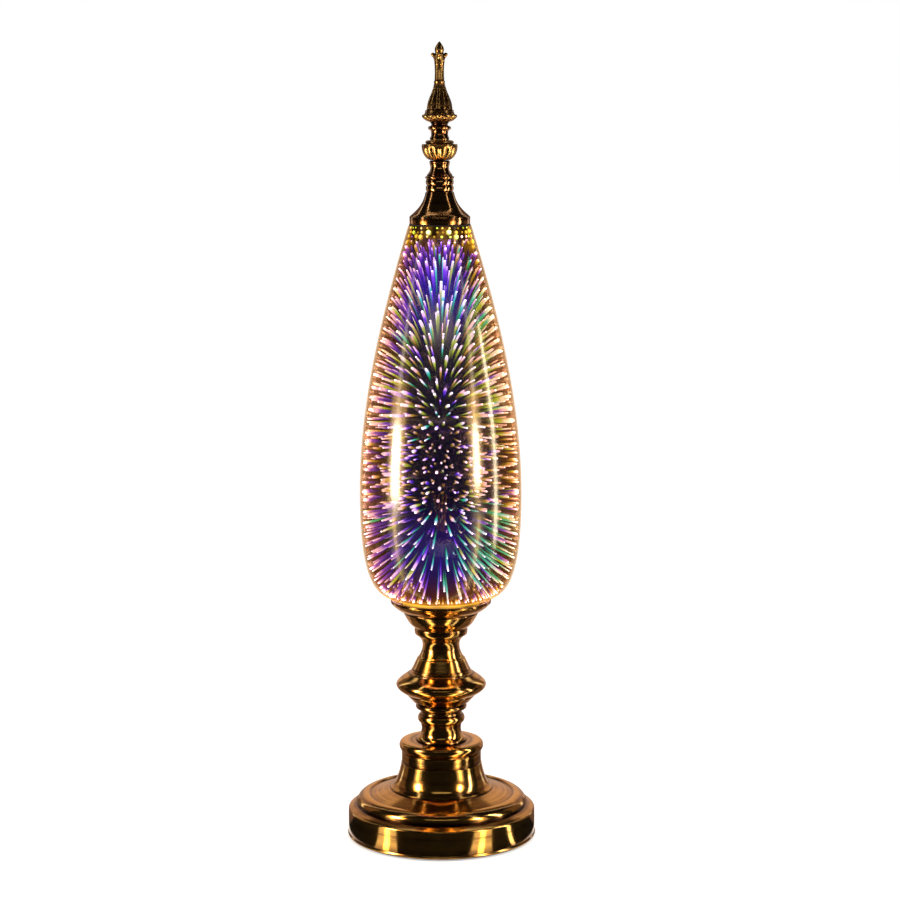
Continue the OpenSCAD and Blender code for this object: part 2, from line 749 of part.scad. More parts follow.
module bulb_foot() {
    r = screw_bore / 2 - cap_clear / 2;
    color([0.1, 0.1, 0.1]) turned(concat(
        [[0, bulb_z], [1.8, bulb_z]],
        [[2.4, bulb_z + 0.7], [2.4, bulb_z + 1.2], [r - 2, bulb_z + 1.4],
            [r - 0.6, bulb_cap_z], [0, bulb_cap_z]]));
}

module bulb_cap() {
    r = screw_bore / 2 - cap_clear / 2;
    turns = floor((bulb_cap_h - 5) / bulb_lead);
    color(steel) turned(concat(
        [[0, bulb_cap_z], [r - 0.5, bulb_cap_z]],
        [for (i = [0:turns * 8])
            [r - 0.3 + 0.3 * cos(i * 45), bulb_cap_z + 1 + i * bulb_lead / 8]],
        [[r, bulb_collar_z - 2], [r, bulb_collar_z], [0, bulb_collar_z]]));
}

module bulb_collar() {
    r = bulb_collar_d / 2;
    color([0.92, 0.92, 0.9]) turned(concat(
        [[0, bulb_collar_z], [screw_bore / 2 + 1, bulb_collar_z]],
        curve([screw_bore / 2 + 1.6, bulb_collar_z + 0.6], [r - 1.6, bulb_collar_z + 3],
            [r, bulb_collar_z + 6], [r, bulb_glass_z], 8),
        [[0, bulb_glass_z]]));
}

module bulb_envelope() {
    r = bulb_d / 2;
    foot = bulb_collar_d / 2 - 0.4;
    top = bulb_glass_z + bulb_h;
    side = concat(
        curve([foot, bulb_glass_z], [foot + 1, bulb_glass_z + 5], [r, bulb_glass_z + 10],
            [r, bulb_glass_z + 20], 10),
        curve([r, bulb_glass_z + 20], [r, bulb_glass_z + 36], [4.4, top - 16], [3.4, top - 3], 12));
    color([0.95, 0.92, 0.85, 0.4]) turned(concat(
        side,
        arc([1.2, top - 2.4], 2.2, 0, 80, 5),
        [[0, top], [0, top - 4 - bulb_wall]],
        back(upto(inward(side, bulb_wall), top - 7)),
        [[foot - bulb_wall, bulb_glass_z]]));
}

module bulb_stem() {
    color([0.85, 0.9, 0.9, 0.6]) turned([[0, bulb_glass_z], [5, bulb_glass_z],
        [3, bulb_glass_z + 5], [1.4, bulb_glass_z + 8], [1.4, bulb_glass_z + 14],
        [0, bulb_glass_z + 14]]);
}

module bulb_filaments() {
    tilt = 5;
    foot = bulb_glass_z + 8.4;
    color([0.95, 0.8, 0.3]) for (a = [0:90:270]) rotate([0, 0, a + 20])
        translate([1.3, 0, foot]) rotate([0, tilt, 0]) translate([filament_d / 2 + 0.4, 0, 0])
            cylinder(h = filament_l, d = filament_d);
}

module cap_gasket() {
    color(rubber) translate([0, 0, glass_top])
        tube(cap_gasket_t, glass_top_d / 2 - 0.7, mouth_r - 3);
}

module cap_plug() {
    r = mouth_r - plug_clear / 2;
    color([0.3, 0.24, 0.16]) turned(concat(
        [[stud_hole, plug_z], [r - 2, plug_z]],
        arc([r - 2, plug_z + 2], 2, -90, 0),
        [[r, glass_top - 0.4], [mouth_r - 3.2, glass_top - 0.4], [mouth_r - 3.2, cap_z],
            [stud_hole, cap_z]]));
}

module cap_spacer() {
    color(steel) translate([0, 0, cap_z]) tube(cap_h - cap_wall, spacer_d / 2, stud_hole);
}

module cap_bell() {
    r = cap_d / 2;
    top = cap_top_d / 2;
    band = cap_z + cap_rim_h;
    flare = curve([r - 0.8, band + 0.4], [r - 5.6, band + 4.6], [top + 1.9, band + 9],
        [top, cap_top - 0.6], 12);
    color(brass) turned(concat(
        [[r - 0.5, cap_z]],
        arc([r - 0.8, cap_z + 0.8], 0.8, -70, 0, 4),
        arc([r - 0.8, band - 0.8], 0.8, 0, 70, 4),
        flare,
        [[top - 0.4, cap_top], [stud_hole, cap_top], [stud_hole, cap_top - cap_wall],
            [top - cap_wall - 0.4, cap_top - cap_wall]],
        back(upto(inward(flare, cap_wall), cap_top - cap_wall - 2)),
        [[r - cap_wall - 0.8, band - 0.6], [r - cap_wall - 0.8, cap_z]]));
}

module cap_collar() {
    r = cap_band_d / 2;
    h = (cap_collar_h - 3.1) / 2;
    color(brass) turned(concat(
        [[stud_hole, cap_top], [r - 0.8, cap_top], [r - 0.8, cap_top + 0.3]],
        oval([r - 0.9, cap_top + 0.3 + h / 2], 0.9, h / 2, -70, 70, 8),
        [[r - 0.9, cap_top + 0.3 + h], [r - 0.9, cap_top + 0.7 + h]],
        oval([r - 0.9, cap_top + 0.7 + h * 1.5], 0.9, h / 2, -70, 70, 8),
        [[r - 0.7, cap_top + 0.7 + 2 * h], [r - 0.7, fin_z - 2.2]],
        oval([r - 0.7, fin_z - 1.1], 1.2, 1.1, -90, 80, 8),
        [[r - 1, fin_z], [stud_hole, fin_z]]));
}

module finial_stud() {
    color(steel) translate([0, 0, stud_low]) cylinder(h = stud_top - stud_low, d = stud_d);
}

module stud_nut() {
    color(steel) translate([0, 0, plug_z - stud_washer_t - stud_nut_h])
        hex_nut(stud_nut_h, 10, stud_d / 2 + 0.05);
}

module stud_washer() {
    color(steel) translate([0, 0, plug_z - stud_washer_t]) tube(stud_washer_t, 9, stud_hole);
}

module finial_neck() {
    r = fin_neck_d / 2;
    color(brass) turned(concat(
        [[stud_hole, fin_z], [r + 2.6, fin_z], [r + 2.8, fin_z + 0.8]],
        curve([r + 2.4, fin_z + 1.4], [r + 0.4, fin_z + 3.4], [r - 0.4, fin_z + 5.6],
            [r, fin_z + 8], 8),
        [[r + 0.7, bowl_z - 2.6]],
        oval([r - 0.2, bowl_z - 1.5], 1, 1.1, -80, 80, 8),
        [[r + 0.2, bowl_z], [stud_hole, bowl_z]]));
}

// Meridian of the bowl: a quarter round whose foot meets the neck
function bowl_side(r) = oval([fin_neck_d / 2 - 1.6, bowl_z + bowl_h - 1.4],
    r - fin_neck_d / 2 + 1.6, bowl_h - 1.4, -78, 0, 14);

// A ring of rounded lobes, as deep as the given depth
function lobed(r, n, depth, per = 8) =
    [for (i = [0:n * per - 1]) let (a = 360 * i / (n * per))
        (r - depth * (1 - abs(cos(a * n / 2)))) * [cos(a), sin(a)]];

module finial_bowl() {
    r = bowl_d / 2;
    lip = bowl_z + bowl_h;
    c = fin_neck_d / 2 - 1.6;
    color(brass) difference() {
        turned(concat(
            [[stud_hole, bowl_z]],
            bowl_side(r),
            [[r - 0.2, lip - 0.5], [r - 0.8, lip], [r - 2.4, lip]],
            oval([r - 4.4, lip + bowl_ring_h * 0.45], 1.4, bowl_ring_h * 0.45, -60, 70, 8),
            [[r - 5, lip + bowl_ring_h], [stud_hole, lip + bowl_ring_h]]));
        for (i = [0:gadroons - 1]) rotate([0, 0, (i + 0.5) * 360 / gadroons])
            translate([c, 0, lip - 2.6]) rotate([90, 0, 0]) rotate([0, 0, -84])
                rotate_extrude(angle = 84) translate([r - c + 0.25, 0]) circle(r = 0.8);
    }
}

module finial_washer() {
    color([0.75, 0.6, 0.28]) translate([0, 0, washer_z]) tube(fin_washer_t, 7.6, stud_hole);
}

module finial_spool() {
    r = spool_d / 2;
    ring = spool_ring_d / 2;
    ring_z = spool_z + 8.9;
    color(brass) difference() {
        turned(concat(
            [[0, spool_z], [r + 1.2, spool_z], [r + 1.3, spool_z + 0.8]],
            curve([r + 1, spool_z + 1.4], [r + 0.2, spool_z + 2.4], [r, spool_z + 4.4],
                [r + 0.6, ring_z - 2.2], 6),
            oval([ring - 1.4, ring_z], 1.4, 1.5, -80, 80, 8),
            curve([r + 0.6, ring_z + 1.8], [r - 0.2, ring_z + 2.4], [r - 0.3, disc_z - 1.4],
                [r + 0.8, disc_z - 0.3], 6),
            [[r + 0.8, disc_z], [0, disc_z]]));
        translate([0, 0, spool_z - 1]) cylinder(h = stud_top - spool_z + 2, r = stud_hole);
    }
}

module finial_disc() {
    r = disc_d / 2;
    color(brass) intersection() {
        turned(concat(
            [[0, disc_z], [spool_d / 2 + 0.6, disc_z]],
            curve([spool_d / 2 + 1.6, disc_z + 0.5], [r - 3.4, disc_z + 1.2],
                [r - 1.4, disc_z + 2.6], [r, disc_z + 4.6], 8),
            oval([r - 1.2, disc_z + 5.4], 1.2, 0.9, 0, 80, 5),
            curve([r - 1.6, disc_z + 6.4], [r - 2.6, disc_z + 7], [spire_d / 2 + 1.4, spire_z - 1.8],
                [spire_d / 2 + 0.8, spire_z], 6),
            [[0, spire_z]]));
        translate([0, 0, disc_z - 1]) linear_extrude(height = disc_h + 2)
            polygon(lobed(r + 0.2, scallops, 1.8));
    }
}

module finial_spire() {
    r = spire_d / 2;
    s = shaft_d / 2;
    color(brass) difference() {
        turned(concat(
            [[0, spire_z], [r - 0.3, spire_z], [r, spire_z + 0.4]],
            curve([r - 0.1, spire_z + 1.6], [r - 0.6, spire_z + 9], [s + 2.2, shaft_z - 10],
                [s + 0.3, shaft_z - 0.8], 12),
            [[s + 0.6, shaft_z - 0.4], [s + 0.6, shaft_z + 0.6], [s, shaft_z + 1],
                [s - 0.2, shaft_z + shaft_h / 2], [s - 0.1, tip_z - 0.5], [s, tip_z], [0, tip_z]]));
        for (i = [0:flutes - 1]) rotate([0, 0, (i + 0.5) * 360 / flutes])
            translate([r + 0.5, 0, spire_z + 1.4]) rotate([0, -atan2(r - s - 1, spire_h), 0])
                cylinder(h = spire_h + 2, r1 = 1.5, r2 = 0.8);
    }
}

module finial_tip() {
    s = shaft_d / 2;
    span = tip_span / 2;
    color(brass) {
        turned(concat(
            [[0, tip_z], [s, tip_z]],
            curve([s, tip_z + 0.2], [s + 0.2, tip_z + 3], [s + 0.5, tip_z + 5],
                [s + 0.4, tip_z + 7], 6),
            [[s - 0.6, tip_z + 10]],
            curve([s - 0.4, tip_z + 11], [s + 0.8, tip_z + 14], [1.6, tip_z + tip_h - 2],
                [0.5, tip_z + tip_h - 0.2], 8),
            [[0, tip_z + tip_h]]));
        for (a = [0:90:270]) rotate([0, 0, a]) {
            translate([1.5, 0, tip_z + 3]) rotate([0, atan2(span - 2.9, 5.4), 0])
                cylinder(h = norm([span - 2.9, 5.4]), r1 = 2.2, r2 = 1.5);
            translate([span - 1.6, 0, tip_z + 8.6]) sphere(r = 1.6);
        }
    }
}

base_pad();
base_cover();
cover_screws();
ballast();
base_shell();
pedestal_bell();
pedestal_collar();
neck_spool();
knop_lower();
knop_upper();
waist_spool();
cup_cone();
shade_gallery();
tie_rod();
rod_nuts();
rod_washers();
holder_body();
holder_shell();
holder_contact();
inner_lead();
terminal_block();
cord_gland();
gland_nut();
switch_body();
switch_nut();
switch_lead();
switch_button();
shade_gasket();
shade_glass();
bulb_foot();
bulb_cap();
bulb_collar();
bulb_envelope();
bulb_stem();
bulb_filaments();
cap_gasket();
cap_plug();
cap_spacer();
cap_bell();
cap_collar();
finial_stud();
stud_nut();
stud_washer();
finial_neck();
finial_bowl();
finial_washer();
finial_spool();
finial_disc();
finial_spire();
finial_tip();
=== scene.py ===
import json
import math
import random

import bpy
from mathutils import Matrix, Vector
from mathutils.bvhtree import BVHTree


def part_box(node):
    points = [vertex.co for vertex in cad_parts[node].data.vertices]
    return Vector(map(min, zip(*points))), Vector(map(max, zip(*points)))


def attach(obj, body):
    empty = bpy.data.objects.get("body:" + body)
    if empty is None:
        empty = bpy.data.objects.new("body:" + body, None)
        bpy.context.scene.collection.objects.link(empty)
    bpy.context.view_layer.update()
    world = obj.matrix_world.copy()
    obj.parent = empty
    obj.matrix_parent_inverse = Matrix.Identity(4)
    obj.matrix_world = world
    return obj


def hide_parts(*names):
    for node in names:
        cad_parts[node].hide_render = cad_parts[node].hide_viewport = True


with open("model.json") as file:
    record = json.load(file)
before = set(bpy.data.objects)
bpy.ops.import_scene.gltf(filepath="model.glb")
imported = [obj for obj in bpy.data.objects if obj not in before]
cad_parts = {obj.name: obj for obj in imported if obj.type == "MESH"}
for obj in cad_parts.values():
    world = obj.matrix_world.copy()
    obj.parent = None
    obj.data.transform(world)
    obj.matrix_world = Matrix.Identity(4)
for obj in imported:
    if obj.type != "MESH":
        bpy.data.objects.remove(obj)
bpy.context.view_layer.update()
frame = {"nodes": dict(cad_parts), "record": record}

nodes = frame["nodes"]
MM = 0.001

# Camera: the photograph's viewpoint in metres and degrees, its lens in mm, and the lamp's place in the frame
CAMERA_DISTANCE = 1.83
CAMERA_HEIGHT = 0.569
CAMERA_PITCH = 7.697
CAMERA_ROLL = -0.168
CAMERA_LENS = 90.64
SENSOR_WIDTH = 36
NEAREST_SEEN = 0.05
FURTHEST_SEEN = 30
FRAME_PX = 900
LAMP_AXIS_PX = 440.5

# Studio: where the strip lights stand, in degrees round the lamp from the camera's side toward the right, and
# how far from the lamp's axis. A tail carries a strip on up and down, and a halo is the soft light round it.
LEFT_STRIP = -64
RIGHT_STRIP = 50
EDGE_STRIP = 80
STRIP_DISTANCE = 0.56
TAIL_DISTANCE = 0.57
HALO_DISTANCE = 0.58
STRIP_GLOW = 18.0
TAIL_GLOW = 4.0
STRIP_WHITE = (1.0, 0.96, 0.9)
HALO_GOLD = (1.0, 0.66, 0.26)
# Each light: its name, angle, width, foot and top, glow, colour and distance
STRIP_LIGHTS = (
    ("left_strip", LEFT_STRIP, 0.13, 0.22, 0.39, STRIP_GLOW, STRIP_WHITE, STRIP_DISTANCE),
    ("left_tail", LEFT_STRIP, 0.07, 0.18, 0.43, TAIL_GLOW, STRIP_WHITE, TAIL_DISTANCE),
    ("right_strip", RIGHT_STRIP, 0.08, 0.255, 0.4, STRIP_GLOW, STRIP_WHITE, STRIP_DISTANCE),
    ("right_tail", RIGHT_STRIP, 0.06, 0.23, 0.5, TAIL_GLOW, HALO_GOLD, TAIL_DISTANCE),
    ("edge_strip", EDGE_STRIP, 0.05, 0.1, 0.58, 12.0, STRIP_WHITE, STRIP_DISTANCE),
    ("left_halo", LEFT_STRIP, 0.26, 0.2, 0.48, 3.4, HALO_GOLD, HALO_DISTANCE),
    ("right_halo", RIGHT_STRIP, 0.2, 0.24, 0.48, 2.6, HALO_GOLD, HALO_DISTANCE),
)
# Floor, world and cards: sizes, the floor's and the world's light, and the degrees of one facet of a card
FLOOR_SIZE = 60.0
FLOOR_DROP = 0.3 * MM
FLOOR_GLOW = 0.45
WORLD_LIGHT = 0.7
CARD_RADIUS = 0.62
CARD_FACET = 6
# Ribbons of light that carry each strip on over the floor and overhead, so that rims and flares mirror it
# upright: radius, height, and the degrees that the ribbon is turned back there
LOW_RIBBON = ((0.086, 0.8 * MM, -23.6), (0.6, 0.8 * MM, 0), (0.6, 0.17, 3))
LOW_SHOULDER = ((0.085, 0.7 * MM, -23.6), (0.61, 0.7 * MM, 0), (0.61, 0.2, 3))
HIGH_RIBBON = ((0.6, 0.44, 2), (0.6, 0.75, 6), (0.6, 1.03, 20), (0.35, 1.14, 55), (0.05, 1.27, 70))

# CAD nodes: the brass at the top of the lamp, browner than the stem, and how their faces are shaded as one
UMBER_PIECES = ("cap_bell", "cap_collar", "finial_neck", "finial_spool")
WELD_REACH = 2e-6
EDGE_ANGLE = 24

# Brass: how far its hollows and joints darken, as patina and as painted shade, how round its edges look and how
# deep its turning lines are
HOLLOW_REACH = 12 * MM
JOINT_REACH = 2.2 * MM
EDGE_ROUNDING = 0.8 * MM
LINE_DEPTH = 0.07 * MM

# Mirrored glass: the heights between which its coat and its painted glow change
COAT_FOOT = 0.2
COAT_TOP = 0.5

# Finial: flutes, scallops and lobes round each piece and the points that each of them has, how near a point is
# to its line, how near points merge, the angle that stays an edge, and the arms and fineness of the cast tip
SPIRE_FLUTES = 11
DISC_SCALLOPS = 12
BOWL_LOBES = 14
POINTS_EACH = 8
NEAR_LINE = 0.03
MERGE_REACH = 1e-6
CAST_EDGE = 50
ARM_LEAN = 35
TIP_VOXEL = 0.22 * MM

# Trails of light in the mirrored glass. Those over the upper focus point down toward it and those under the
# lower one point up, each with a share of its own distance left. A tone picks the colours of a trail.
UPPER_FOCUS = 0.345
UPPER_SPREAD = 0.42
LOWER_FOCUS = 0.285
LOWER_SPREAD = 0.32
TRAIL_SEED = 7
TRAIL_GLOW = 18.5
TONES = (0.0, 0.33, 0.66, 1.0)
THICKNESSES = (0.55, 0.65, 0.8, 0.95, 1.25)
# Rows of dots: how far the first and the last stay from the ends of the glass, the fewest dots in a row, and how
# far a dot strays, in parts of the spacing
FIRST_ROW = 8 * MM
LAST_ROW = 1.2 * MM
FEWEST_DOTS = 8
DOT_JITTER = 0.22
ROW_JITTER = 0.08
# One trail: how far its head sinks in, in parts of its thickness, its length beside the plug of the cap and the
# least it may have, how much it sags, the least that a wall counts as upright, and how much fewer of the violet
# ones are on the right
HEAD_SINK = 0.4
SHORT_TRAIL = 1.2 * MM
LEAST_TRAIL = 0.1 * MM
TRAIL_SAG = 0.3
LEAST_LEVEL = 0.3
WARM_SIDE = 0.7
# What the trails stay clear of: the bulb up to its top, the plug, and the rim of the glass
CLEAR_OF_BULB = 20.5 * MM
BULB_REACH = 0.320
PLUG_ROOM = 0.3 * MM
RIM_ROOM = 0.4 * MM
# Each zone: its top, the steps between rows and round a row, its shares of violet, teal, green and gold
# trails, how far in they reach, how far along the run from white to dark their colours start, how thick they
# are, and how far inside the wall a trail may start. Zones blend over a few mm, and from ARCH_FOOT to ARCH_TOP
# they arch up at the front and the back.
ZONE_BLEND = 4 * MM
ZONE_ARCH = 9 * MM
ARCH_FOOT = 0.44
ARCH_TOP = 0.494
TRAIL_ZONES = (
    (0.2075, 4.2 * MM, 8.0 * MM, (5, 0, 0, 6), (0.05, 0.12), (0.02, 0.4), 0.85, (0,)),
    (0.270, 9.5 * MM, 15.5 * MM, (7, 7, 2, 0), (0.3, 0.52), (0.12, 0.34), 0.95, (0,)),
    (0.335, 8.2 * MM, 10.0 * MM, (3, 0, 1, 7), (0.14, 0.26), (0.02, 0.24), 1.08, (0, 0, 0.22, 0.38)),
    (0.430, 9.5 * MM, 14.0 * MM, (2, 1, 7, 4), (0.3, 0.48), (0.02, 0.2), 1.05, (0,)),
    (0.472, 8.0 * MM, 11.5 * MM, (6, 4, 4, 1), (0.28, 0.42), (0.1, 0.34), 1.0, (0,)),
    (0.486, 5.5 * MM, 8.0 * MM, (9, 1, 0, 1), (0.12, 0.2), (0.2, 0.45), 0.95, (0, 0.16, 0.3)),
    (0.493, 4.5 * MM, 7.0 * MM, (4, 0, 1, 6), (0.06, 0.14), (0.15, 0.55), 1.4, (0,)),
    (0.510, 3.6 * MM, 6.0 * MM, (0, 0, 4, 9), (0.06, 0.14), (0.4, 0.8), 2.1, (0,)),
)


def clear_selection():
    bpy.ops.object.select_all(action="DESELECT")


def select_only(active, *others):
    """Selects these objects and nothing else, and makes the first of them the active one."""
    clear_selection()
    for piece in (active, *others):
        piece.select_set(True)
    bpy.context.view_layer.objects.active = active


def rename(name):
    """Names the object that an operator has just made, and its mesh."""
    piece = bpy.context.object
    piece.name = name
    piece.data.name = name
    return piece


def settle():
    """Puts the active object's place, turn and scale into its mesh."""
    bpy.ops.object.transform_apply(location=True, rotation=True, scale=True)


def around(angle, radius, z):
    """A point round the lamp's axis, its angle in degrees from the camera's side toward the right."""
    a = math.radians(angle)
    return Vector((radius * math.sin(a), -radius * math.cos(a), z))


def make_camera():
    data = bpy.data.cameras.new("camera")
    data.sensor_width = SENSOR_WIDTH
    data.lens = CAMERA_LENS
    data.shift_x = (FRAME_PX / 2 - LAMP_AXIS_PX) / FRAME_PX
    data.clip_start = NEAREST_SEEN
    data.clip_end = FURTHEST_SEEN
    camera = bpy.data.objects.new("camera", data)
    bpy.context.scene.collection.objects.link(camera)
    place = Matrix.Translation((0, -CAMERA_DISTANCE, CAMERA_HEIGHT))
    pitch = Matrix.Rotation(math.radians(90 - CAMERA_PITCH), 4, "X")
    roll = Matrix.Rotation(math.radians(CAMERA_ROLL), 4, "Z")
    camera.matrix_world = place @ pitch @ roll
    bpy.context.scene.camera = camera


def put(tree, kind, links=(), **settings):
    """Adds a shader node. links pairs each input, by name or number, with a value or with the socket that
    feeds it."""
    node = tree.nodes.new(kind)
    for key, value in settings.items():
        setattr(node, key, value)
    for key, value in dict(links).items():
        socket = node.inputs[key]
        if isinstance(value, bpy.types.NodeSocket):
            tree.links.new(value, socket)
        else:
            socket.default_value = value
    return node


def math_node(tree, operation, *values):
    return put(tree, "ShaderNodeMath", enumerate(values), operation=operation).outputs[0]


def mix_colour(tree, factor, a, b, blend="MIX"):
    node = put(tree, "ShaderNodeMix", {0: factor, 6: a, 7: b}, data_type="RGBA", blend_type=blend)
    return node.outputs[2]


def ramp(tree, factor, *stops):
    """A colour ramp. Each stop is its place and its colour or grey level."""
    node = put(tree, "ShaderNodeValToRGB", {0: factor})
    points = node.color_ramp.elements
    while len(points) < len(stops):
        points.new(1.0)
    for point, (place, colour) in zip(points, stops):
        point.position = place
        point.color = (*colour, 1) if isinstance(colour, tuple) else (colour, colour, colour, 1)
    return node.outputs[0]


def map_range(tree, value, low, high, to_low, to_high):
    node = put(tree, "ShaderNodeMapRange", {0: value, 1: low, 2: high, 3: to_low, 4: to_high})
    return node.outputs[0]


def new_finish(name, **sockets):
    """A material with one Principled shader, whose plain values are set on its own sockets."""
    finish = bpy.data.materials.new(name)
    finish.use_nodes = True
    tree = finish.node_tree
    shader = tree.nodes["Principled BSDF"]
    for socket, value in sockets.items():
        shader.inputs[socket.replace("_", " ")].default_value = value
    return finish, tree, shader


def bare_finish(name):
    """A material with no shader yet."""
    finish = bpy.data.materials.new(name)
    finish.use_nodes = True
    tree = finish.node_tree
    tree.nodes.remove(tree.nodes["Principled BSDF"])
    return finish, tree


def feed(tree, shader, **sockets):
    for socket, value in sockets.items():
        tree.links.new(value, shader.inputs[socket.replace("_", " ")])


def object_place(tree):
    return put(tree, "ShaderNodeTexCoord").outputs["Object"]


def noise(tree, place, scale, detail=2.0, roughness=0.5):
    links = {"Vector": place, "Scale": scale, "Detail": detail, "Roughness": roughness}
    return put(tree, "ShaderNodeTexNoise", links).outputs[0]


def lathe_place(tree, place):
    """The distance from the lamp's axis and the height, so that a pattern runs round as turning lines do."""
    flat = put(tree, "ShaderNodeVectorMath", {0: place, 1: (1, 1, 0)}, operation="MULTIPLY").outputs[0]
    radius = put(tree, "ShaderNodeVectorMath", {0: flat}, operation="LENGTH").outputs["Value"]
    height = put(tree, "ShaderNodeSeparateXYZ", {0: place}).outputs[2]
    return put(tree, "ShaderNodeCombineXYZ", {0: radius, 2: height}).outputs[0]


def bump(tree, height, strength, distance, normal=None):
    links = {"Height": height, "Strength": strength, "Distance": distance}
    if normal is not None:
        links["Normal"] = normal
    return put(tree, "ShaderNodeBump", links).outputs[0]


def turned_brass(name, gold, brown, patina, dull, bright):
    """Antique brass off the lathe: fine turning lines, dark patina and painted shade in the hollows and joints,
    bright on the edges.
    """
    finish, tree, shader = new_finish(name, Metallic=1.0, Coat_Weight=0.2, Coat_Roughness=0.14)
    place = object_place(tree)
    lathe = lathe_place(tree, place)
    fine_lines = noise(tree, lathe, 2600.0, 2.0)
    wide_lines = noise(tree, lathe, 620.0, 4.0, 0.7)
    rings = noise(tree, lathe, 190.0, 2.0, 0.6)
    stain = noise(tree, place, 46.0, 4.0, 0.62)
    # Painted shade and patina: occlusion in hollows and joints darkens the colour toward the patina stop.
    hollow = put(tree, "ShaderNodeAmbientOcclusion", {"Distance": HOLLOW_REACH}, samples=6).outputs["AO"]
    joint = put(tree, "ShaderNodeAmbientOcclusion", {"Distance": JOINT_REACH}, samples=6).outputs["AO"]
    lines = math_node(tree, "MULTIPLY_ADD", fine_lines, 0.4, math_node(tree, "MULTIPLY", wide_lines, 0.6))
    wear_and_shade_marks = ((lines, 0.55, 1.5), (stain, 0.55, 0.7), (joint, 1.0, 0.7), (rings, 0.48, 1.3))
    wear_and_shade = hollow
    for pattern, middle, strength in wear_and_shade_marks:
        offset = math_node(tree, "SUBTRACT", pattern, middle)
        wear_and_shade = math_node(tree, "MULTIPLY_ADD", offset, strength, wear_and_shade)
    colour = ramp(tree, wear_and_shade, (0.35, patina), (0.7, brown), (1.0, gold))
    roughness = map_range(tree, wear_and_shade, 0.3, 1.0, dull, bright)
    soft_edge = put(tree, "ShaderNodeBevel", {"Radius": EDGE_ROUNDING}, samples=4).outputs[0]
    relief = bump(tree, lines, 0.5, LINE_DEPTH, soft_edge)
    feed(tree, shader, Base_Color=colour, Roughness=roughness, Normal=relief)
    return finish


def plain_metal(name, colour, rough, dark):
    """Plated or cast metal with small scratches and a faintly uneven tone."""
    finish, tree, shader = new_finish(name, Metallic=1.0)
    place = object_place(tree)
    tone = noise(tree, place, 120.0, 4.0, 0.6)
    scratch_place = put(tree, "ShaderNodeMapping", {0: place, 3: (1, 1, 14)}).outputs[0]
    scratches = noise(tree, scratch_place, 260.0, 3.0, 0.7)
    feed(
        tree, shader,
        Base_Color=ramp(tree, tone, (0.3, dark), (0.7, colour)),
        Roughness=map_range(tree, scratches, 0.3, 0.7, rough - 0.08, rough + 0.12),
        Normal=bump(tree, scratches, 0.2, 0.05 * MM),
    )
    return finish


def grained(name, colour, dark, rough, scale, strength, **sockets):
    """Plastic, rubber, iron or felt: a tone that wanders a little over a fine grain."""
    finish, tree, shader = new_finish(name, **sockets)
    place = object_place(tree)
    tone = noise(tree, place, scale * 0.12, 4.0, 0.6)
    grain = noise(tree, place, scale, 3.0, 0.65)
    feed(
        tree, shader,
        Base_Color=ramp(tree, tone, (0.3, dark), (0.7, colour)),
        Roughness=map_range(tree, grain, 0.3, 0.7, rough - 0.07, rough + 0.07),
        Normal=bump(tree, grain, strength, 0.15 * MM),
    )
    return finish


def lit_phosphor():
    """The yellow coat of an LED filament, in beads along its length."""
    finish, tree, shader = new_finish("led_phosphor", Roughness=0.5, Emission_Strength=0.06)
    place = object_place(tree)
    beads = put(tree, "ShaderNodeTexWave", {0: place, 1: 260.0, 2: 0.6}, bands_direction="Z").outputs[1]
    colour = ramp(tree, beads, (0.2, (0.75, 0.42, 0.06)), (0.8, (1.0, 0.74, 0.22)))
    feed(tree, shader, Base_Color=colour, Emission_Color=colour)
    finish.cycles.emission_sampling = "NONE"
    return finish


def clear_glass(name, tint, rough):
    """Thin clear glass, mirroring more toward its edge."""
    finish, tree = bare_finish(name)
    place = object_place(tree)
    ripple = bump(tree, noise(tree, place, 60.0, 1.0), 0.05, 0.4 * MM)
    through = put(tree, "ShaderNodeBsdfTransparent", {"Color": (*tint, 1)})
    shine = put(tree, "ShaderNodeBsdfGlossy", {"Roughness": rough, "Normal": ripple})
    edge = put(tree, "ShaderNodeFresnel", {"IOR": 1.2, "Normal": ripple}).outputs[0]
    share = math_node(tree, "MULTIPLY", edge, 0.4)
    both = put(tree, "ShaderNodeMixShader", {0: share, 1: through.outputs[0], 2: shine.outputs[0]})
    tree.links.new(both.outputs[0], tree.nodes["Material Output"].inputs["Surface"])
    return finish


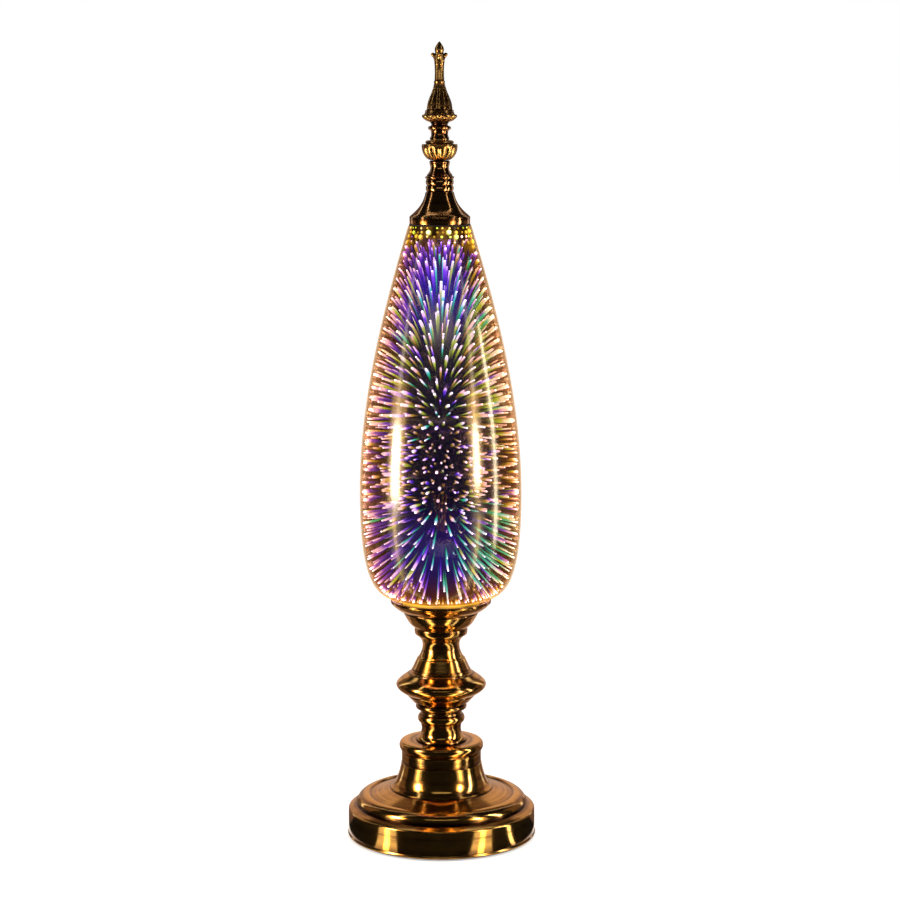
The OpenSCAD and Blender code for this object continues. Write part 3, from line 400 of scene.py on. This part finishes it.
def mirrored_glass():
    """Glass with a thin mirror coat: dark and violet seen straight, amber and clearer toward its edge. A painted
    glow lies over it: violet near its ends, brown toward its edge, and at its foot a painted gold reflection of
    the brass beneath.
    """
    finish, tree = bare_finish("mirrored_glass")
    place = object_place(tree)
    ripple = bump(tree, noise(tree, place, 7.0, 0.0), 0.03, 0.6 * MM)
    facing = put(tree, "ShaderNodeLayerWeight", {"Blend": 0.5}).outputs["Facing"]
    tint = ramp(
        tree, facing,
        (0.0, (0.30, 0.27, 0.31)), (0.07, (0.30, 0.26, 0.28)), (0.16, (0.30, 0.25, 0.24)),
        (0.35, (0.31, 0.26, 0.21)), (0.58, (0.36, 0.28, 0.20)), (0.78, (0.70, 0.59, 0.44)),
        (0.92, (0.97, 0.90, 0.78)),
    )
    through = put(tree, "ShaderNodeBsdfTransparent", {"Color": tint})
    amber = {"Color": (1.0, 0.85, 0.62, 1), "Roughness": 0.15, "Normal": ripple}
    shine = put(tree, "ShaderNodeBsdfGlossy", amber)
    edge = put(tree, "ShaderNodeFresnel", {"IOR": 1.3, "Normal": ripple}).outputs[0]
    height = put(tree, "ShaderNodeSeparateXYZ", {0: place}).outputs[2]
    level = map_range(tree, height, COAT_FOOT, COAT_TOP, 0.0, 1.0)
    coat = ramp(tree, level, (0.08, 0.035), (0.24, 0.1), (0.72, 0.1), (0.92, 0.04))
    mirror = math_node(tree, "MULTIPLY_ADD", edge, 0.2, coat)
    both = put(tree, "ShaderNodeMixShader", {0: mirror, 1: through.outputs[0], 2: shine.outputs[0]})
    # Painted glow: violet near the foot and under the top of the glass, warm at its very top, standing in for
    # the light of the dots' reflections inside it.
    painted_violet_glow = ramp(
        tree, level,
        (0.05, (0.01, 0.004, 0.03)), (0.14, (0.012, 0.005, 0.08)), (0.3, (0.0, 0.0, 0.004)),
        (0.5, (0.0, 0.0, 0.004)), (0.7, (0.003, 0.004, 0.01)), (0.85, (0.014, 0.006, 0.14)),
        (0.93, (0.02, 0.006, 0.06)), (0.965, (0.12, 0.04, 0.014)), (1.0, (0.2, 0.09, 0.012)),
    )
    # Painted reflection: a gold band at the foot of the glass, where it would mirror the brass gallery, broken
    # up by a noise mask.
    painted_gold_reflection = ramp(
        tree, level,
        (0.0, (0.62, 0.34, 0.03)), (0.008, (0.34, 0.14, 0.008)), (0.022, (0.07, 0.014, 0.003)),
        (0.05, (0.03, 0.004, 0.002)), (0.1, 0.0),
    )
    foot_shine = ramp(tree, noise(tree, place, 34.0, 1.0), (0.38, 0.25), (0.6, 1.0))
    painted_gold_reflection = mix_colour(tree, 1.0, painted_gold_reflection, foot_shine, "MULTIPLY")
    inward = ramp(tree, facing, (0.05, 1.0), (0.3, 0.0))
    mottle = ramp(tree, noise(tree, place, 170.0, 2.0), (0.4, 0.06), (0.62, 1.0))
    mottle = mix_colour(tree, map_range(tree, level, 0.93, 0.965, 0.0, 1.0), (1, 1, 1, 1), mottle)
    painted_violet_glow = mix_colour(tree, 1.0, painted_violet_glow, mottle, "MULTIPLY")
    # Painted glow: brown toward the edge of the glass.
    painted_brown_side_glow = ramp(tree, facing, (0.08, 0.0), (0.25, (0.012, 0.003, 0.001)), (0.7, (0.055, 0.018, 0.006)))
    # All the painted glow and painted reflection of the glass is summed here and shines from it as emission.
    painted_glow = mix_colour(tree, 1.0, painted_violet_glow, inward, "MULTIPLY")
    painted_glow = mix_colour(tree, 1.0, painted_glow, painted_brown_side_glow, "ADD")
    painted_glow = mix_colour(tree, 1.0, painted_glow, painted_gold_reflection, "ADD")
    glow = put(tree, "ShaderNodeEmission", {"Color": painted_glow, "Strength": 1.0})
    lit = put(tree, "ShaderNodeAddShader", {0: both.outputs[0], 1: glow.outputs[0]})
    tree.links.new(lit.outputs[0], tree.nodes["Material Output"].inputs["Surface"])
    finish.cycles.emission_sampling = "NONE"
    return finish


def trail_light():
    """The light of a trail: white or lilac at its head, then violet, teal, green or gold to its dark tail."""
    finish, tree, shader = new_finish(
        "trail_light", Base_Color=(0, 0, 0, 1), Roughness=1.0, Specular_IOR_Level=0.0,
        Emission_Strength=TRAIL_GLOW,
    )
    trail_map = put(tree, "ShaderNodeUVMap", uv_map="trail").outputs[0]
    along, tone, _ = put(tree, "ShaderNodeSeparateXYZ", {0: trail_map}).outputs
    violet = ramp(
        tree, along,
        (0.0, (1.0, 0.78, 1.0)), (0.3, (0.72, 0.5, 1.0)), (0.46, (0.16, 0.05, 0.62)),
        (0.72, (0.02, 0.008, 0.22)), (1.0, (0.001, 0.001, 0.012)),
    )
    teal = ramp(
        tree, along,
        (0.0, (1.0, 0.95, 1.0)), (0.3, (0.62, 0.8, 0.95)), (0.46, (0.05, 0.5, 0.4)),
        (0.72, (0.01, 0.26, 0.05)), (1.0, (0.001, 0.008, 0.003)),
    )
    green = ramp(
        tree, along,
        (0.0, (1.0, 0.9, 1.0)), (0.3, (0.78, 0.72, 0.82)), (0.46, (0.36, 0.5, 0.05)),
        (0.72, (0.13, 0.2, 0.006)), (1.0, (0.004, 0.006, 0.001)),
    )
    gold = ramp(
        tree, along,
        (0.0, (0.94, 0.66, 0.74)), (0.3, (0.78, 0.52, 0.5)), (0.46, (0.36, 0.27, 0.03)),
        (0.72, (0.13, 0.085, 0.005)), (1.0, (0.006, 0.004, 0.001)),
    )
    colour = violet
    for start, end, next_colour in zip(TONES, TONES[1:], (teal, green, gold)):
        colour = mix_colour(tree, map_range(tree, tone, start, end, 0.0, 1.0), colour, next_colour)
    feed(tree, shader, Emission_Color=colour)
    finish.cycles.emission_sampling = "NONE"
    return finish


def make_finishes():
    return {
        "antique_brass": turned_brass(
            "antique_brass", (0.84, 0.48, 0.11), (0.34, 0.165, 0.05), (0.06, 0.024, 0.01), 0.23, 0.1
        ),
        "umber_brass": turned_brass(
            "umber_brass", (0.66, 0.34, 0.11), (0.3, 0.12, 0.04), (0.06, 0.02, 0.008), 0.23, 0.1
        ),
        "cast_brass": turned_brass(
            "cast_brass", (0.74, 0.43, 0.12), (0.3, 0.13, 0.04), (0.05, 0.018, 0.008), 0.4, 0.22
        ),
        "bright_brass": plain_metal("bright_brass", (0.72, 0.5, 0.18), 0.26, (0.5, 0.32, 0.1)),
        "steel": plain_metal("zinc_steel", (0.6, 0.6, 0.58), 0.32, (0.42, 0.42, 0.42)),
        "cast_iron": grained(
            "cast_iron", (0.05, 0.05, 0.055), (0.03, 0.028, 0.028), 0.6, 500.0, 0.6, Metallic=0.4
        ),
        "felt": grained(
            "felt", (0.02, 0.055, 0.03), (0.012, 0.035, 0.02), 0.92, 1500.0, 0.9, Sheen_Weight=0.6
        ),
        "rubber": grained("rubber", (0.012, 0.01, 0.009), (0.008, 0.007, 0.007), 0.62, 900.0, 0.25),
        "black_plastic": grained(
            "black_plastic", (0.022, 0.021, 0.02), (0.014, 0.014, 0.014), 0.42, 1100.0, 0.2
        ),
        "holder_plastic": grained("phenolic", (0.04, 0.022, 0.014), (0.026, 0.014, 0.009), 0.34, 700.0, 0.1),
        "block_plastic": grained("nylon", (0.72, 0.69, 0.6), (0.64, 0.61, 0.52), 0.45, 800.0, 0.12),
        "white_plastic": grained("white_plastic", (0.78, 0.77, 0.73), (0.7, 0.69, 0.65), 0.36, 800.0, 0.1),
        "lead_sheath": grained("lead_sheath", (0.7, 0.66, 0.55), (0.6, 0.56, 0.46), 0.5, 600.0, 0.2),
        "insulator": grained("black_insulator", (0.02, 0.016, 0.02), (0.012, 0.01, 0.012), 0.18, 500.0, 0.05),
        "led": lit_phosphor(),
        "bulb_glass": clear_glass("bulb_glass", (0.96, 0.94, 0.9), 0.02),
        "coated_glass": mirrored_glass(),
    }


def dress_cad(finishes):
    """Gives every CAD node its finish, and shades its round faces as one smooth surface up to its edges."""
    slots = {row["node"]: row["material_slot"] for row in frame["record"]["subparts"]}
    for name, piece in nodes.items():
        piece.data.materials.clear()
        piece.data.materials.append(finishes["umber_brass" if name in UMBER_PIECES else slots[name]])
        select_only(piece)
        bpy.ops.mesh.customdata_custom_splitnormals_clear()
        bpy.ops.object.shade_smooth()
        weld = piece.modifiers.new("merge_faces", "WELD")
        weld.merge_threshold = WELD_REACH
        split = piece.modifiers.new("keep_edges", "EDGE_SPLIT")
        split.split_angle = math.radians(EDGE_ANGLE)


def draw_outline(name, points):
    """A line of edges in the XZ plane through the points, each a distance from the Z axis and a height.
    It stays in edit mode."""
    clear_selection()
    bpy.ops.mesh.primitive_plane_add(size=0.01, location=(points[0][0], 0, points[0][1]))
    piece = rename(name)
    settle()
    bpy.ops.object.mode_set(mode="EDIT")
    bpy.ops.mesh.select_all(action="SELECT")
    bpy.ops.mesh.merge(type="CENTER")
    for (x0, z0), (x1, z1) in zip(points, points[1:]):
        bpy.ops.mesh.extrude_region_move(TRANSFORM_OT_translate={"value": (x1 - x0, 0, z1 - z0)})
    return piece


def spin_outline(piece, axis, steps, turn=360.0):
    """Turns the drawn outline round an axis through the origin, and closes a full turn's seam and poles."""
    bpy.ops.mesh.select_all(action="SELECT")
    bpy.ops.mesh.spin(steps=steps, angle=-math.radians(turn), center=(0, 0, 0), axis=axis)
    bpy.ops.mesh.select_all(action="SELECT")
    bpy.ops.mesh.remove_doubles(threshold=MERGE_REACH)
    bpy.ops.mesh.normals_make_consistent(inside=False)
    bpy.ops.object.mode_set(mode="OBJECT")
    return piece


def oval(x, z, across, up, start, end, steps):
    """Points of an outline round an oval, in mm and degrees."""
    turns = [math.radians(start + (end - start) * i / steps) for i in range(steps + 1)]
    return [(x + across * math.cos(a), z + up * math.sin(a)) for a in turns]


def curve(a, b, c, d, steps):
    """Points of an outline along a curve that two handles pull, in mm."""
    found = []
    for i in range(steps + 1):
        t = i / steps
        u = 1 - t
        weights = (u * u * u, 3 * u * u * t, 3 * u * t * t, t * t * t)
        found.append(tuple(sum(w * p[k] for w, p in zip(weights, (a, b, c, d))) for k in (0, 1)))
    return found


def turn_on_lathe(name, outline, steps):
    """A piece of brass turned round the lamp's axis from an outline in mm."""
    return spin_outline(draw_outline(name, [(x * MM, z * MM) for x, z in outline]), (0, 0, 1), steps)


def press_in(piece, count, low, high, reach, cuts):
    """Draws lines of points toward the axis, count times round. cuts pairs a part of the spacing with how
    much of the radius stays."""
    select_only(piece)
    for part, keep in cuts:
        for point in piece.data.vertices:
            spacing = math.degrees(math.atan2(point.co.y, point.co.x)) / 360 * count % 1
            near = min(abs(spacing - part), abs(spacing - 1 + part)) < NEAR_LINE
            point.select = near and low <= point.co.z <= high and point.co.xy.length > reach
        for line in piece.data.edges:
            line.select = False
        for face in piece.data.polygons:
            face.select = False
        bpy.ops.object.mode_set(mode="EDIT")
        bpy.ops.mesh.select_mode(type="VERT")
        bpy.ops.transform.resize(value=(keep, keep, 1), center_override=(0, 0, 0))
        bpy.ops.object.mode_set(mode="OBJECT")


def cast_brass(piece, node, body, finish, angle):
    """Finishes a finial piece and puts it in the place of its CAD node, on that node's body."""
    select_only(piece)
    bpy.ops.object.shade_smooth_by_angle(angle=math.radians(angle))
    piece.data.materials.append(finish)
    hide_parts(node)
    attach(piece, body)


def make_spire(finish):
    """The fluted cone and its shaft."""
    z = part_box("finial_spire")[0].z / MM
    outline = [(0, z), (10.1, z), (10.4, z + 0.4)]
    outline += curve((10.3, z + 1.6), (9.8, z + 9), (6.1, z + 12), (4.2, z + 21.2), 14)
    outline += [(4.5, z + 21.6), (4.5, z + 22.6), (3.9, z + 23), (3.7, z + 28.5), (3.8, z + 34.5)]
    outline += [(3.9, z + 35), (0, z + 35)]
    spire = turn_on_lathe("fluted_spire", outline, SPIRE_FLUTES * POINTS_EACH)
    deep = ((0.5, 0.84), (0.375, 0.88), (0.25, 0.955))
    shallow = ((0.5, 0.88), (0.375, 0.92), (0.25, 0.97))
    press_in(spire, SPIRE_FLUTES, (z + 1.2) * MM, (z + 12) * MM, 0, deep)
    press_in(spire, SPIRE_FLUTES, (z + 12.1) * MM, (z + 19) * MM, 0, shallow)
    cast_brass(spire, "finial_spire", "finial", finish, CAST_EDGE)


def make_disc(finish):
    """The scalloped disc under the spire."""
    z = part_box("finial_disc")[0].z / MM
    outline = [(0, z), (7.1, z)] + curve((8.1, z + 0.5), (10.7, z + 1.2), (12.7, z + 2.6), (14.1, z + 4.6), 8)
    outline += oval(12.9, z + 5.4, 1.2, 0.9, 0, 80, 5)
    outline += curve((12.5, z + 6.4), (11.5, z + 7), (11.8, z + 8.2), (11.2, z + 10), 6) + [(0, z + 10)]
    disc = turn_on_lathe("scalloped_disc", outline, DISC_SCALLOPS * POINTS_EACH)
    scallop = ((0.5, 0.87), (0.375, 0.915), (0.25, 0.965))
    press_in(disc, DISC_SCALLOPS, (z + 1.5) * MM, (z + 6.5) * MM, 10.4 * MM, scallop)
    cast_brass(disc, "finial_disc", "finial", finish, CAST_EDGE)


def make_bowl(finish):
    """The gadrooned bowl, a ring of rounded lobes under a plain lip."""
    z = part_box("finial_bowl")[0].z / MM
    outline = [(3.2, z)] + oval(5.9, z + 11.6, 8.5, 11.6, -78, 0, 14)
    outline += [(14.2, z + 12.5), (13.6, z + 13), (12, z + 13)] + oval(10, z + 14.35, 1.4, 1.35, -60, 70, 8)
    outline += [(9.4, z + 16), (3.2, z + 16), (3.2, z)]
    bowl = turn_on_lathe("gadrooned_bowl", outline, BOWL_LOBES * POINTS_EACH)
    groove = ((0.5, 0.92), (0.375, 0.955), (0.25, 0.985))
    press_in(bowl, BOWL_LOBES, (z + 0.8) * MM, (z + 10.4) * MM, 7 * MM, groove)
    cast_brass(bowl, "finial_bowl", "cap", finish, CAST_EDGE)


def make_tip(finish):
    """The tip: a bud with four short arms, melted together as a casting is."""
    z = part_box("finial_tip")[0].z / MM
    outline = [(0, z), (3.9, z)] + curve((3.9, z + 0.2), (4.1, z + 3), (4.4, z + 5), (4.3, z + 7), 6)
    outline += [(3.3, z + 10)] + curve((3.5, z + 11), (4.7, z + 14), (1.6, z + 17), (0.5, z + 18.8), 8)
    outline += [(0, z + 19)]
    tip = turn_on_lathe("four_armed_tip", outline, 40)
    arm_outline = [(0, 0), (1.9, 0.3), (1.7, 3), (1.25, 5)] + oval(0, 7.0, 1.65, 1.65, -45, 90, 8)
    arm = turn_on_lathe("tip_arm", arm_outline, 20)
    lean = Matrix.Rotation(math.radians(ARM_LEAN), 4, "Y")
    arm.data.transform(Matrix.Translation((1.1 * MM, 0, (z + 2.8) * MM)) @ lean)
    arms = [arm]
    for turn in (90, 180, 270):
        copy = bpy.data.objects.new("tip_arm", arm.data.copy())
        bpy.context.scene.collection.objects.link(copy)
        copy.data.transform(Matrix.Rotation(math.radians(turn), 4, "Z"))
        arms.append(copy)
    select_only(tip, *arms)
    bpy.ops.object.join()
    melt = tip.modifiers.new("melt", "REMESH")
    melt.mode = "VOXEL"
    melt.voxel_size = TIP_VOXEL
    soften = tip.modifiers.new("soften", "SMOOTH")
    soften.iterations = 4
    for name in ("melt", "soften"):
        bpy.ops.object.modifier_apply(modifier=name)
    cast_brass(tip, "finial_tip", "finial", finish, 180)


def model_trail():
    """One trail of light along +X: a round head before the origin, then a tail that narrows to a point."""
    outline = ((-0.7, 0), (-0.35, 0.7), (0.1, 0.95), (0.4, 1.0), (0.62, 0.72), (0.97, 0.15), (1.0, 0))
    trail = spin_outline(draw_outline("trail", outline), (1, 0, 0), 6)
    bpy.ops.object.shade_smooth()
    trail.data.uv_layers.new(name="trail")
    return trail


def wall_at(walls, z):
    """The glass's inner radius at a height, and the level and upward parts of its wall's normal toward the
    axis."""
    place, normal, _, _ = walls.ray_cast(Vector((0, 0, z)), Vector((1, 0, 0)))
    return place.x, abs(normal.x), normal.z if normal.x < 0 else -normal.z


def focus_of(z):
    """The height on the axis that a trail from this height points to: down from the shoulder, up from the
    bottom."""
    if z > UPPER_FOCUS:
        return UPPER_FOCUS + UPPER_SPREAD * (z - UPPER_FOCUS)
    if z < LOWER_FOCUS:
        return LOWER_FOCUS - LOWER_SPREAD * (LOWER_FOCUS - z)
    return z


def bend_trail(mesh, source, head, middle, tail, radius, tone, dim):
    """Lays a copy of the straight trail along a curve from head to tail. tone picks its colours, and dim how
    far along them they start."""
    side = Vector((-head.y, head.x, 0)).normalized()
    places = []
    for x, y, z in source:
        t = max(x, 0.0)
        point = (1 - t) ** 2 * head + 2 * (1 - t) * t * middle + t * t * tail
        ahead = (2 * (1 - t) * (middle - head) + 2 * t * (tail - middle)).normalized()
        up = ahead.cross(side)
        point = point + min(x, 0.0) * radius * ahead + radius * (y * side + z * up)
        places.extend(point)
    mesh.vertices.foreach_set("co", places)
    uv = []
    for loop in mesh.loops:
        x = source[loop.vertex_index][0]
        uv.extend((dim + (1 - dim) * max(x, 0.0), tone))
    mesh.uv_layers["trail"].data.foreach_set("uv", uv)


def trail_zone(z):
    """The zone that holds this height."""
    return next(zone for zone in TRAIL_ZONES if z < zone[0])


def make_trails(finish):
    """Rows of etched dots inside the mirror coat, each with the trail of its reflections toward the axis."""
    draw = random.Random(TRAIL_SEED)
    trail = model_trail()
    source = [tuple(v.co) for v in trail.data.vertices]
    glass = nodes["shade_glass"].data
    walls = BVHTree.FromPolygons([v.co for v in glass.vertices], [tuple(p.vertices) for p in glass.polygons])
    low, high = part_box("shade_glass")
    plug_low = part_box("cap_plug")[0].z
    plug_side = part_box("cap_plug")[1].x
    zones_top = TRAIL_ZONES[-1][0] - MM
    z = low.z + FIRST_ROW
    copies = []
    row = 0
    while z < high.z - LAST_ROW:
        radius, level, rise = wall_at(walls, z)
        row_step, dot_step = trail_zone(z)[1:3]
        count = max(FEWEST_DOTS, round(2 * math.pi * radius / dot_step))
        for i in range(count):
            angle = 2 * math.pi * (i + 0.5 * (row % 2) + draw.uniform(-DOT_JITTER, DOT_JITTER)) / count
            at = z + draw.uniform(-ROW_JITTER, ROW_JITTER) * row_step * level
            wall = wall_at(walls, at)[0]
            out = Vector((math.cos(angle), math.sin(angle), 0))
            shift = draw.uniform(-ZONE_BLEND, ZONE_BLEND)
            if ARCH_FOOT < z < ARCH_TOP:
                shift += ZONE_ARCH * (1 - 2 * abs(out.y))
            tones, reach, dim, size, starts = trail_zone(min(z + shift, zones_top))[3:]
            thick = size * draw.choice(THICKNESSES) * MM
            share = draw.uniform(*reach)
            start = wall * (1 - draw.choice(starts))
            inner = start - wall * share
            end = at + (focus_of(at) - at) * share
            if min(at, end) < BULB_REACH:
                inner = max(inner, CLEAR_OF_BULB)
            if at + thick > plug_low - PLUG_ROOM:
                thick = min(thick, high.z - RIM_ROOM - at)
                start = wall
                inner = max(wall - SHORT_TRAIL, plug_side + PLUG_ROOM)
                end = at
            outer = max(start - HEAD_SINK * thick, inner + LEAST_TRAIL)
            half = (outer - inner) * 0.5
            sag = TRAIL_SAG * (end - at) + TRAIL_SAG * half * rise / max(level, LEAST_LEVEL)
            head = out * outer + Vector((0, 0, at))
            middle = out * (outer - half) + Vector((0, 0, at + sag))
            tail = out * inner + Vector((0, 0, end))
            warm = 1 + WARM_SIDE * math.cos(angle)
            violet, teal, green, gold = tones
            tone = draw.choices(TONES, (violet / warm, teal * warm, green * warm, gold * warm))[0]
            mesh = trail.data.copy()
            bend_trail(mesh, source, head, middle, tail, thick, tone, draw.uniform(*dim))
            copy = bpy.data.objects.new("trail_copy", mesh)
            bpy.context.scene.collection.objects.link(copy)
            copies.append(copy)
        z += row_step * max(level, LEAST_LEVEL)
        row += 1
    bpy.data.objects.remove(trail)
    select_only(*copies)
    bpy.ops.object.join()
    trails = rename("light_trails")
    trails.data.materials.append(finish)
    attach(trails, "shade")


def strip_light(name, angle, width, foot, top, glow, colour, distance):
    """An upright soft strip that faces the lamp. Its power follows from how bright it looks."""
    height = top - foot
    data = bpy.data.lights.new(name, "AREA")
    data.shape = "RECTANGLE"
    data.size = width
    data.size_y = height
    data.energy = glow * math.pi * width * height
    data.color = colour
    light = bpy.data.objects.new(name, data)
    bpy.context.scene.collection.objects.link(light)
    place = Matrix.Translation(around(angle, distance, foot + height / 2))
    light.matrix_world = place @ (-around(angle, 1, 0)).to_track_quat("-Z", "Y").to_matrix().to_4x4()
    light.visible_camera = False


def seen_straight(tree):
    """1 for a ray from the camera, a mirror or a glass, 0 for the light that falls on other things."""
    path = put(tree, "ShaderNodeLightPath")
    seen = math_node(tree, "MAXIMUM", path.outputs["Is Camera Ray"], path.outputs["Is Glossy Ray"])
    return math_node(tree, "MAXIMUM", seen, path.outputs["Is Transmission Ray"])


def make_floor():
    clear_selection()
    bpy.ops.mesh.primitive_plane_add(size=FLOOR_SIZE, location=(0, 0, -FLOOR_DROP))
    floor = rename("floor")
    settle()
    finish, tree, shader = new_finish(
        "pale_floor", Roughness=1.0, Specular_IOR_Level=0.0, Emission_Color=(1, 1, 1, 1)
    )
    shade = noise(tree, object_place(tree), 3.0)
    feed(
        tree, shader,
        Base_Color=ramp(tree, shade, (0.0, 0.83), (1.0, 0.87)),
        Emission_Strength=math_node(tree, "MULTIPLY", seen_straight(tree), FLOOR_GLOW),
    )
    floor.data.materials.append(finish)


def make_card(name, outline, start, end, finish):
    """A card bent round part of the lamp, from one angle to another. Only mirrored rays meet it."""
    facets = max(4, round((end - start) / CARD_FACET))
    card = spin_outline(draw_outline(name, outline), (0, 0, 1), facets, end - start)
    card.data.transform(Matrix.Rotation(math.radians(start - 90), 4, "Z"))
    card.data.materials.append(finish)
    card.visible_camera = False
    card.visible_diffuse = False
    card.visible_transmission = False
    card.visible_shadow = False
    return card


def make_ribbon(name, angle, width, path, finish):
    """A ribbon of light along a path, turned back at each of its points away from the camera's side."""
    ribbon = make_card(name, [row[:2] for row in path], angle - width / 2, angle + width / 2, finish)
    side = 1 if angle > 0 else -1
    for point in ribbon.data.vertices:
        reach = point.co.xy.length
        turn = min(path, key=lambda row: abs(row[0] - reach) + abs(row[1] - point.co.z))[2]
        point.co = Matrix.Rotation(math.radians(side * turn), 4, "Z") @ point.co


def ribbon_light(name, glow, edge, middle):
    """Cloth with a lamp behind it, a little uneven."""
    finish, tree, shader = new_finish(name, Roughness=1.0, Specular_IOR_Level=0.0, Emission_Strength=glow)
    cloth = noise(tree, object_place(tree), 9.0)
    feed(tree, shader, Emission_Color=ramp(tree, cloth, (0.3, edge), (0.7, middle)))
    return finish


def card_paint(name, dark, light):
    finish, tree, shader = new_finish(name, Roughness=1.0, Specular_IOR_Level=0.0)
    weave = noise(tree, object_place(tree), 40.0)
    feed(tree, shader, Base_Color=ramp(tree, weave, (0.3, dark), (0.7, light)))
    return finish


def make_cards():
    """Dark cards all round with a grey one behind, and ribbons of light, for brass and glass to mirror."""
    black = card_paint("black_card", 0.01, 0.016)
    dim = card_paint("dim_card", (0.14, 0.09, 0.07), (0.18, 0.12, 0.09))
    grey = card_paint("grey_card", (0.56, 0.41, 0.33), (0.64, 0.47, 0.38))
    round_foot = ((0.084, 0.6 * MM), (CARD_RADIUS, 0.6 * MM), (CARD_RADIUS, 0.5))
    overhead = ((CARD_RADIUS, 0.5), (CARD_RADIUS, 1.05), (0.02, 1.3))
    make_card("dark_card", round_foot, -104, 104, black)
    make_card("left_dim_card", round_foot, -150, -104, dim)
    make_card("right_dim_card", round_foot, 104, 150, dim)
    make_card("back_card", round_foot, 150, 210, grey)
    make_card("overhead_card", overhead, -150, 150, black)
    make_card("high_back_card", overhead, 150, 210, dim)
    make_card("low_back_card", ((0.2, 0.06), (0.2, 0.15)), 120, 240, grey)
    low_glow = ribbon_light("low_glow", 7.0, (0.95, 0.74, 0.24), (1.0, 0.82, 0.3))
    high_glow = ribbon_light("high_glow", 2.2, (0.92, 0.87, 0.8), (1.0, 0.96, 0.9))
    rim_glow = ribbon_light("rim_glow", 0.6, (0.92, 0.87, 0.8), (1.0, 0.96, 0.9))
    shoulder_glow = ribbon_light("shoulder_glow", 0.16, (0.95, 0.46, 0.2), (1.0, 0.52, 0.25))
    shaft_glow = ribbon_light("shaft_glow", 0.3, (0.92, 0.8, 0.62), (1.0, 0.9, 0.72))
    make_card("shaft_card", ((0.6, 0.625), (0.6, 0.7)), -26, 26, shaft_glow)
    make_ribbon("left_low_ribbon", LEFT_STRIP, 5, LOW_RIBBON, low_glow)
    make_ribbon("right_low_ribbon", RIGHT_STRIP, 4.5, LOW_RIBBON, low_glow)
    make_ribbon("left_low_shoulder", LEFT_STRIP, 20, LOW_SHOULDER, shoulder_glow)
    make_ribbon("right_low_shoulder", RIGHT_STRIP, 18, LOW_SHOULDER, shoulder_glow)
    make_ribbon("edge_low_ribbon", EDGE_STRIP, 4, LOW_RIBBON, high_glow)
    make_ribbon("left_high_ribbon", LEFT_STRIP, 6, HIGH_RIBBON, high_glow)
    make_ribbon("right_high_ribbon", RIGHT_STRIP, 5, HIGH_RIBBON, high_glow)
    make_ribbon("left_back_ribbon", -128, 7, LOW_RIBBON[1:] + HIGH_RIBBON, rim_glow)
    make_ribbon("right_back_ribbon", 132, 7, LOW_RIBBON[1:] + HIGH_RIBBON, rim_glow)


def make_world():
    world = bpy.data.worlds.new("studio")
    bpy.context.scene.world = world
    world.use_nodes = True
    tree = world.node_tree
    background = tree.nodes["Background"]
    background.inputs["Color"].default_value = (1, 1, 1, 1)
    strength = map_range(tree, seen_straight(tree), 0.0, 1.0, WORLD_LIGHT, 1.0)
    tree.links.new(strength, background.inputs["Strength"])


bpy.context.scene.view_settings.view_transform = "Standard"
make_camera()
make_world()
make_floor()
for strip in STRIP_LIGHTS:
    strip_light(*strip)
make_cards()
finishes = make_finishes()
dress_cad(finishes)
for make_piece in (make_spire, make_disc, make_bowl, make_tip):
    make_piece(finishes["cast_brass"])
make_trails(trail_light())
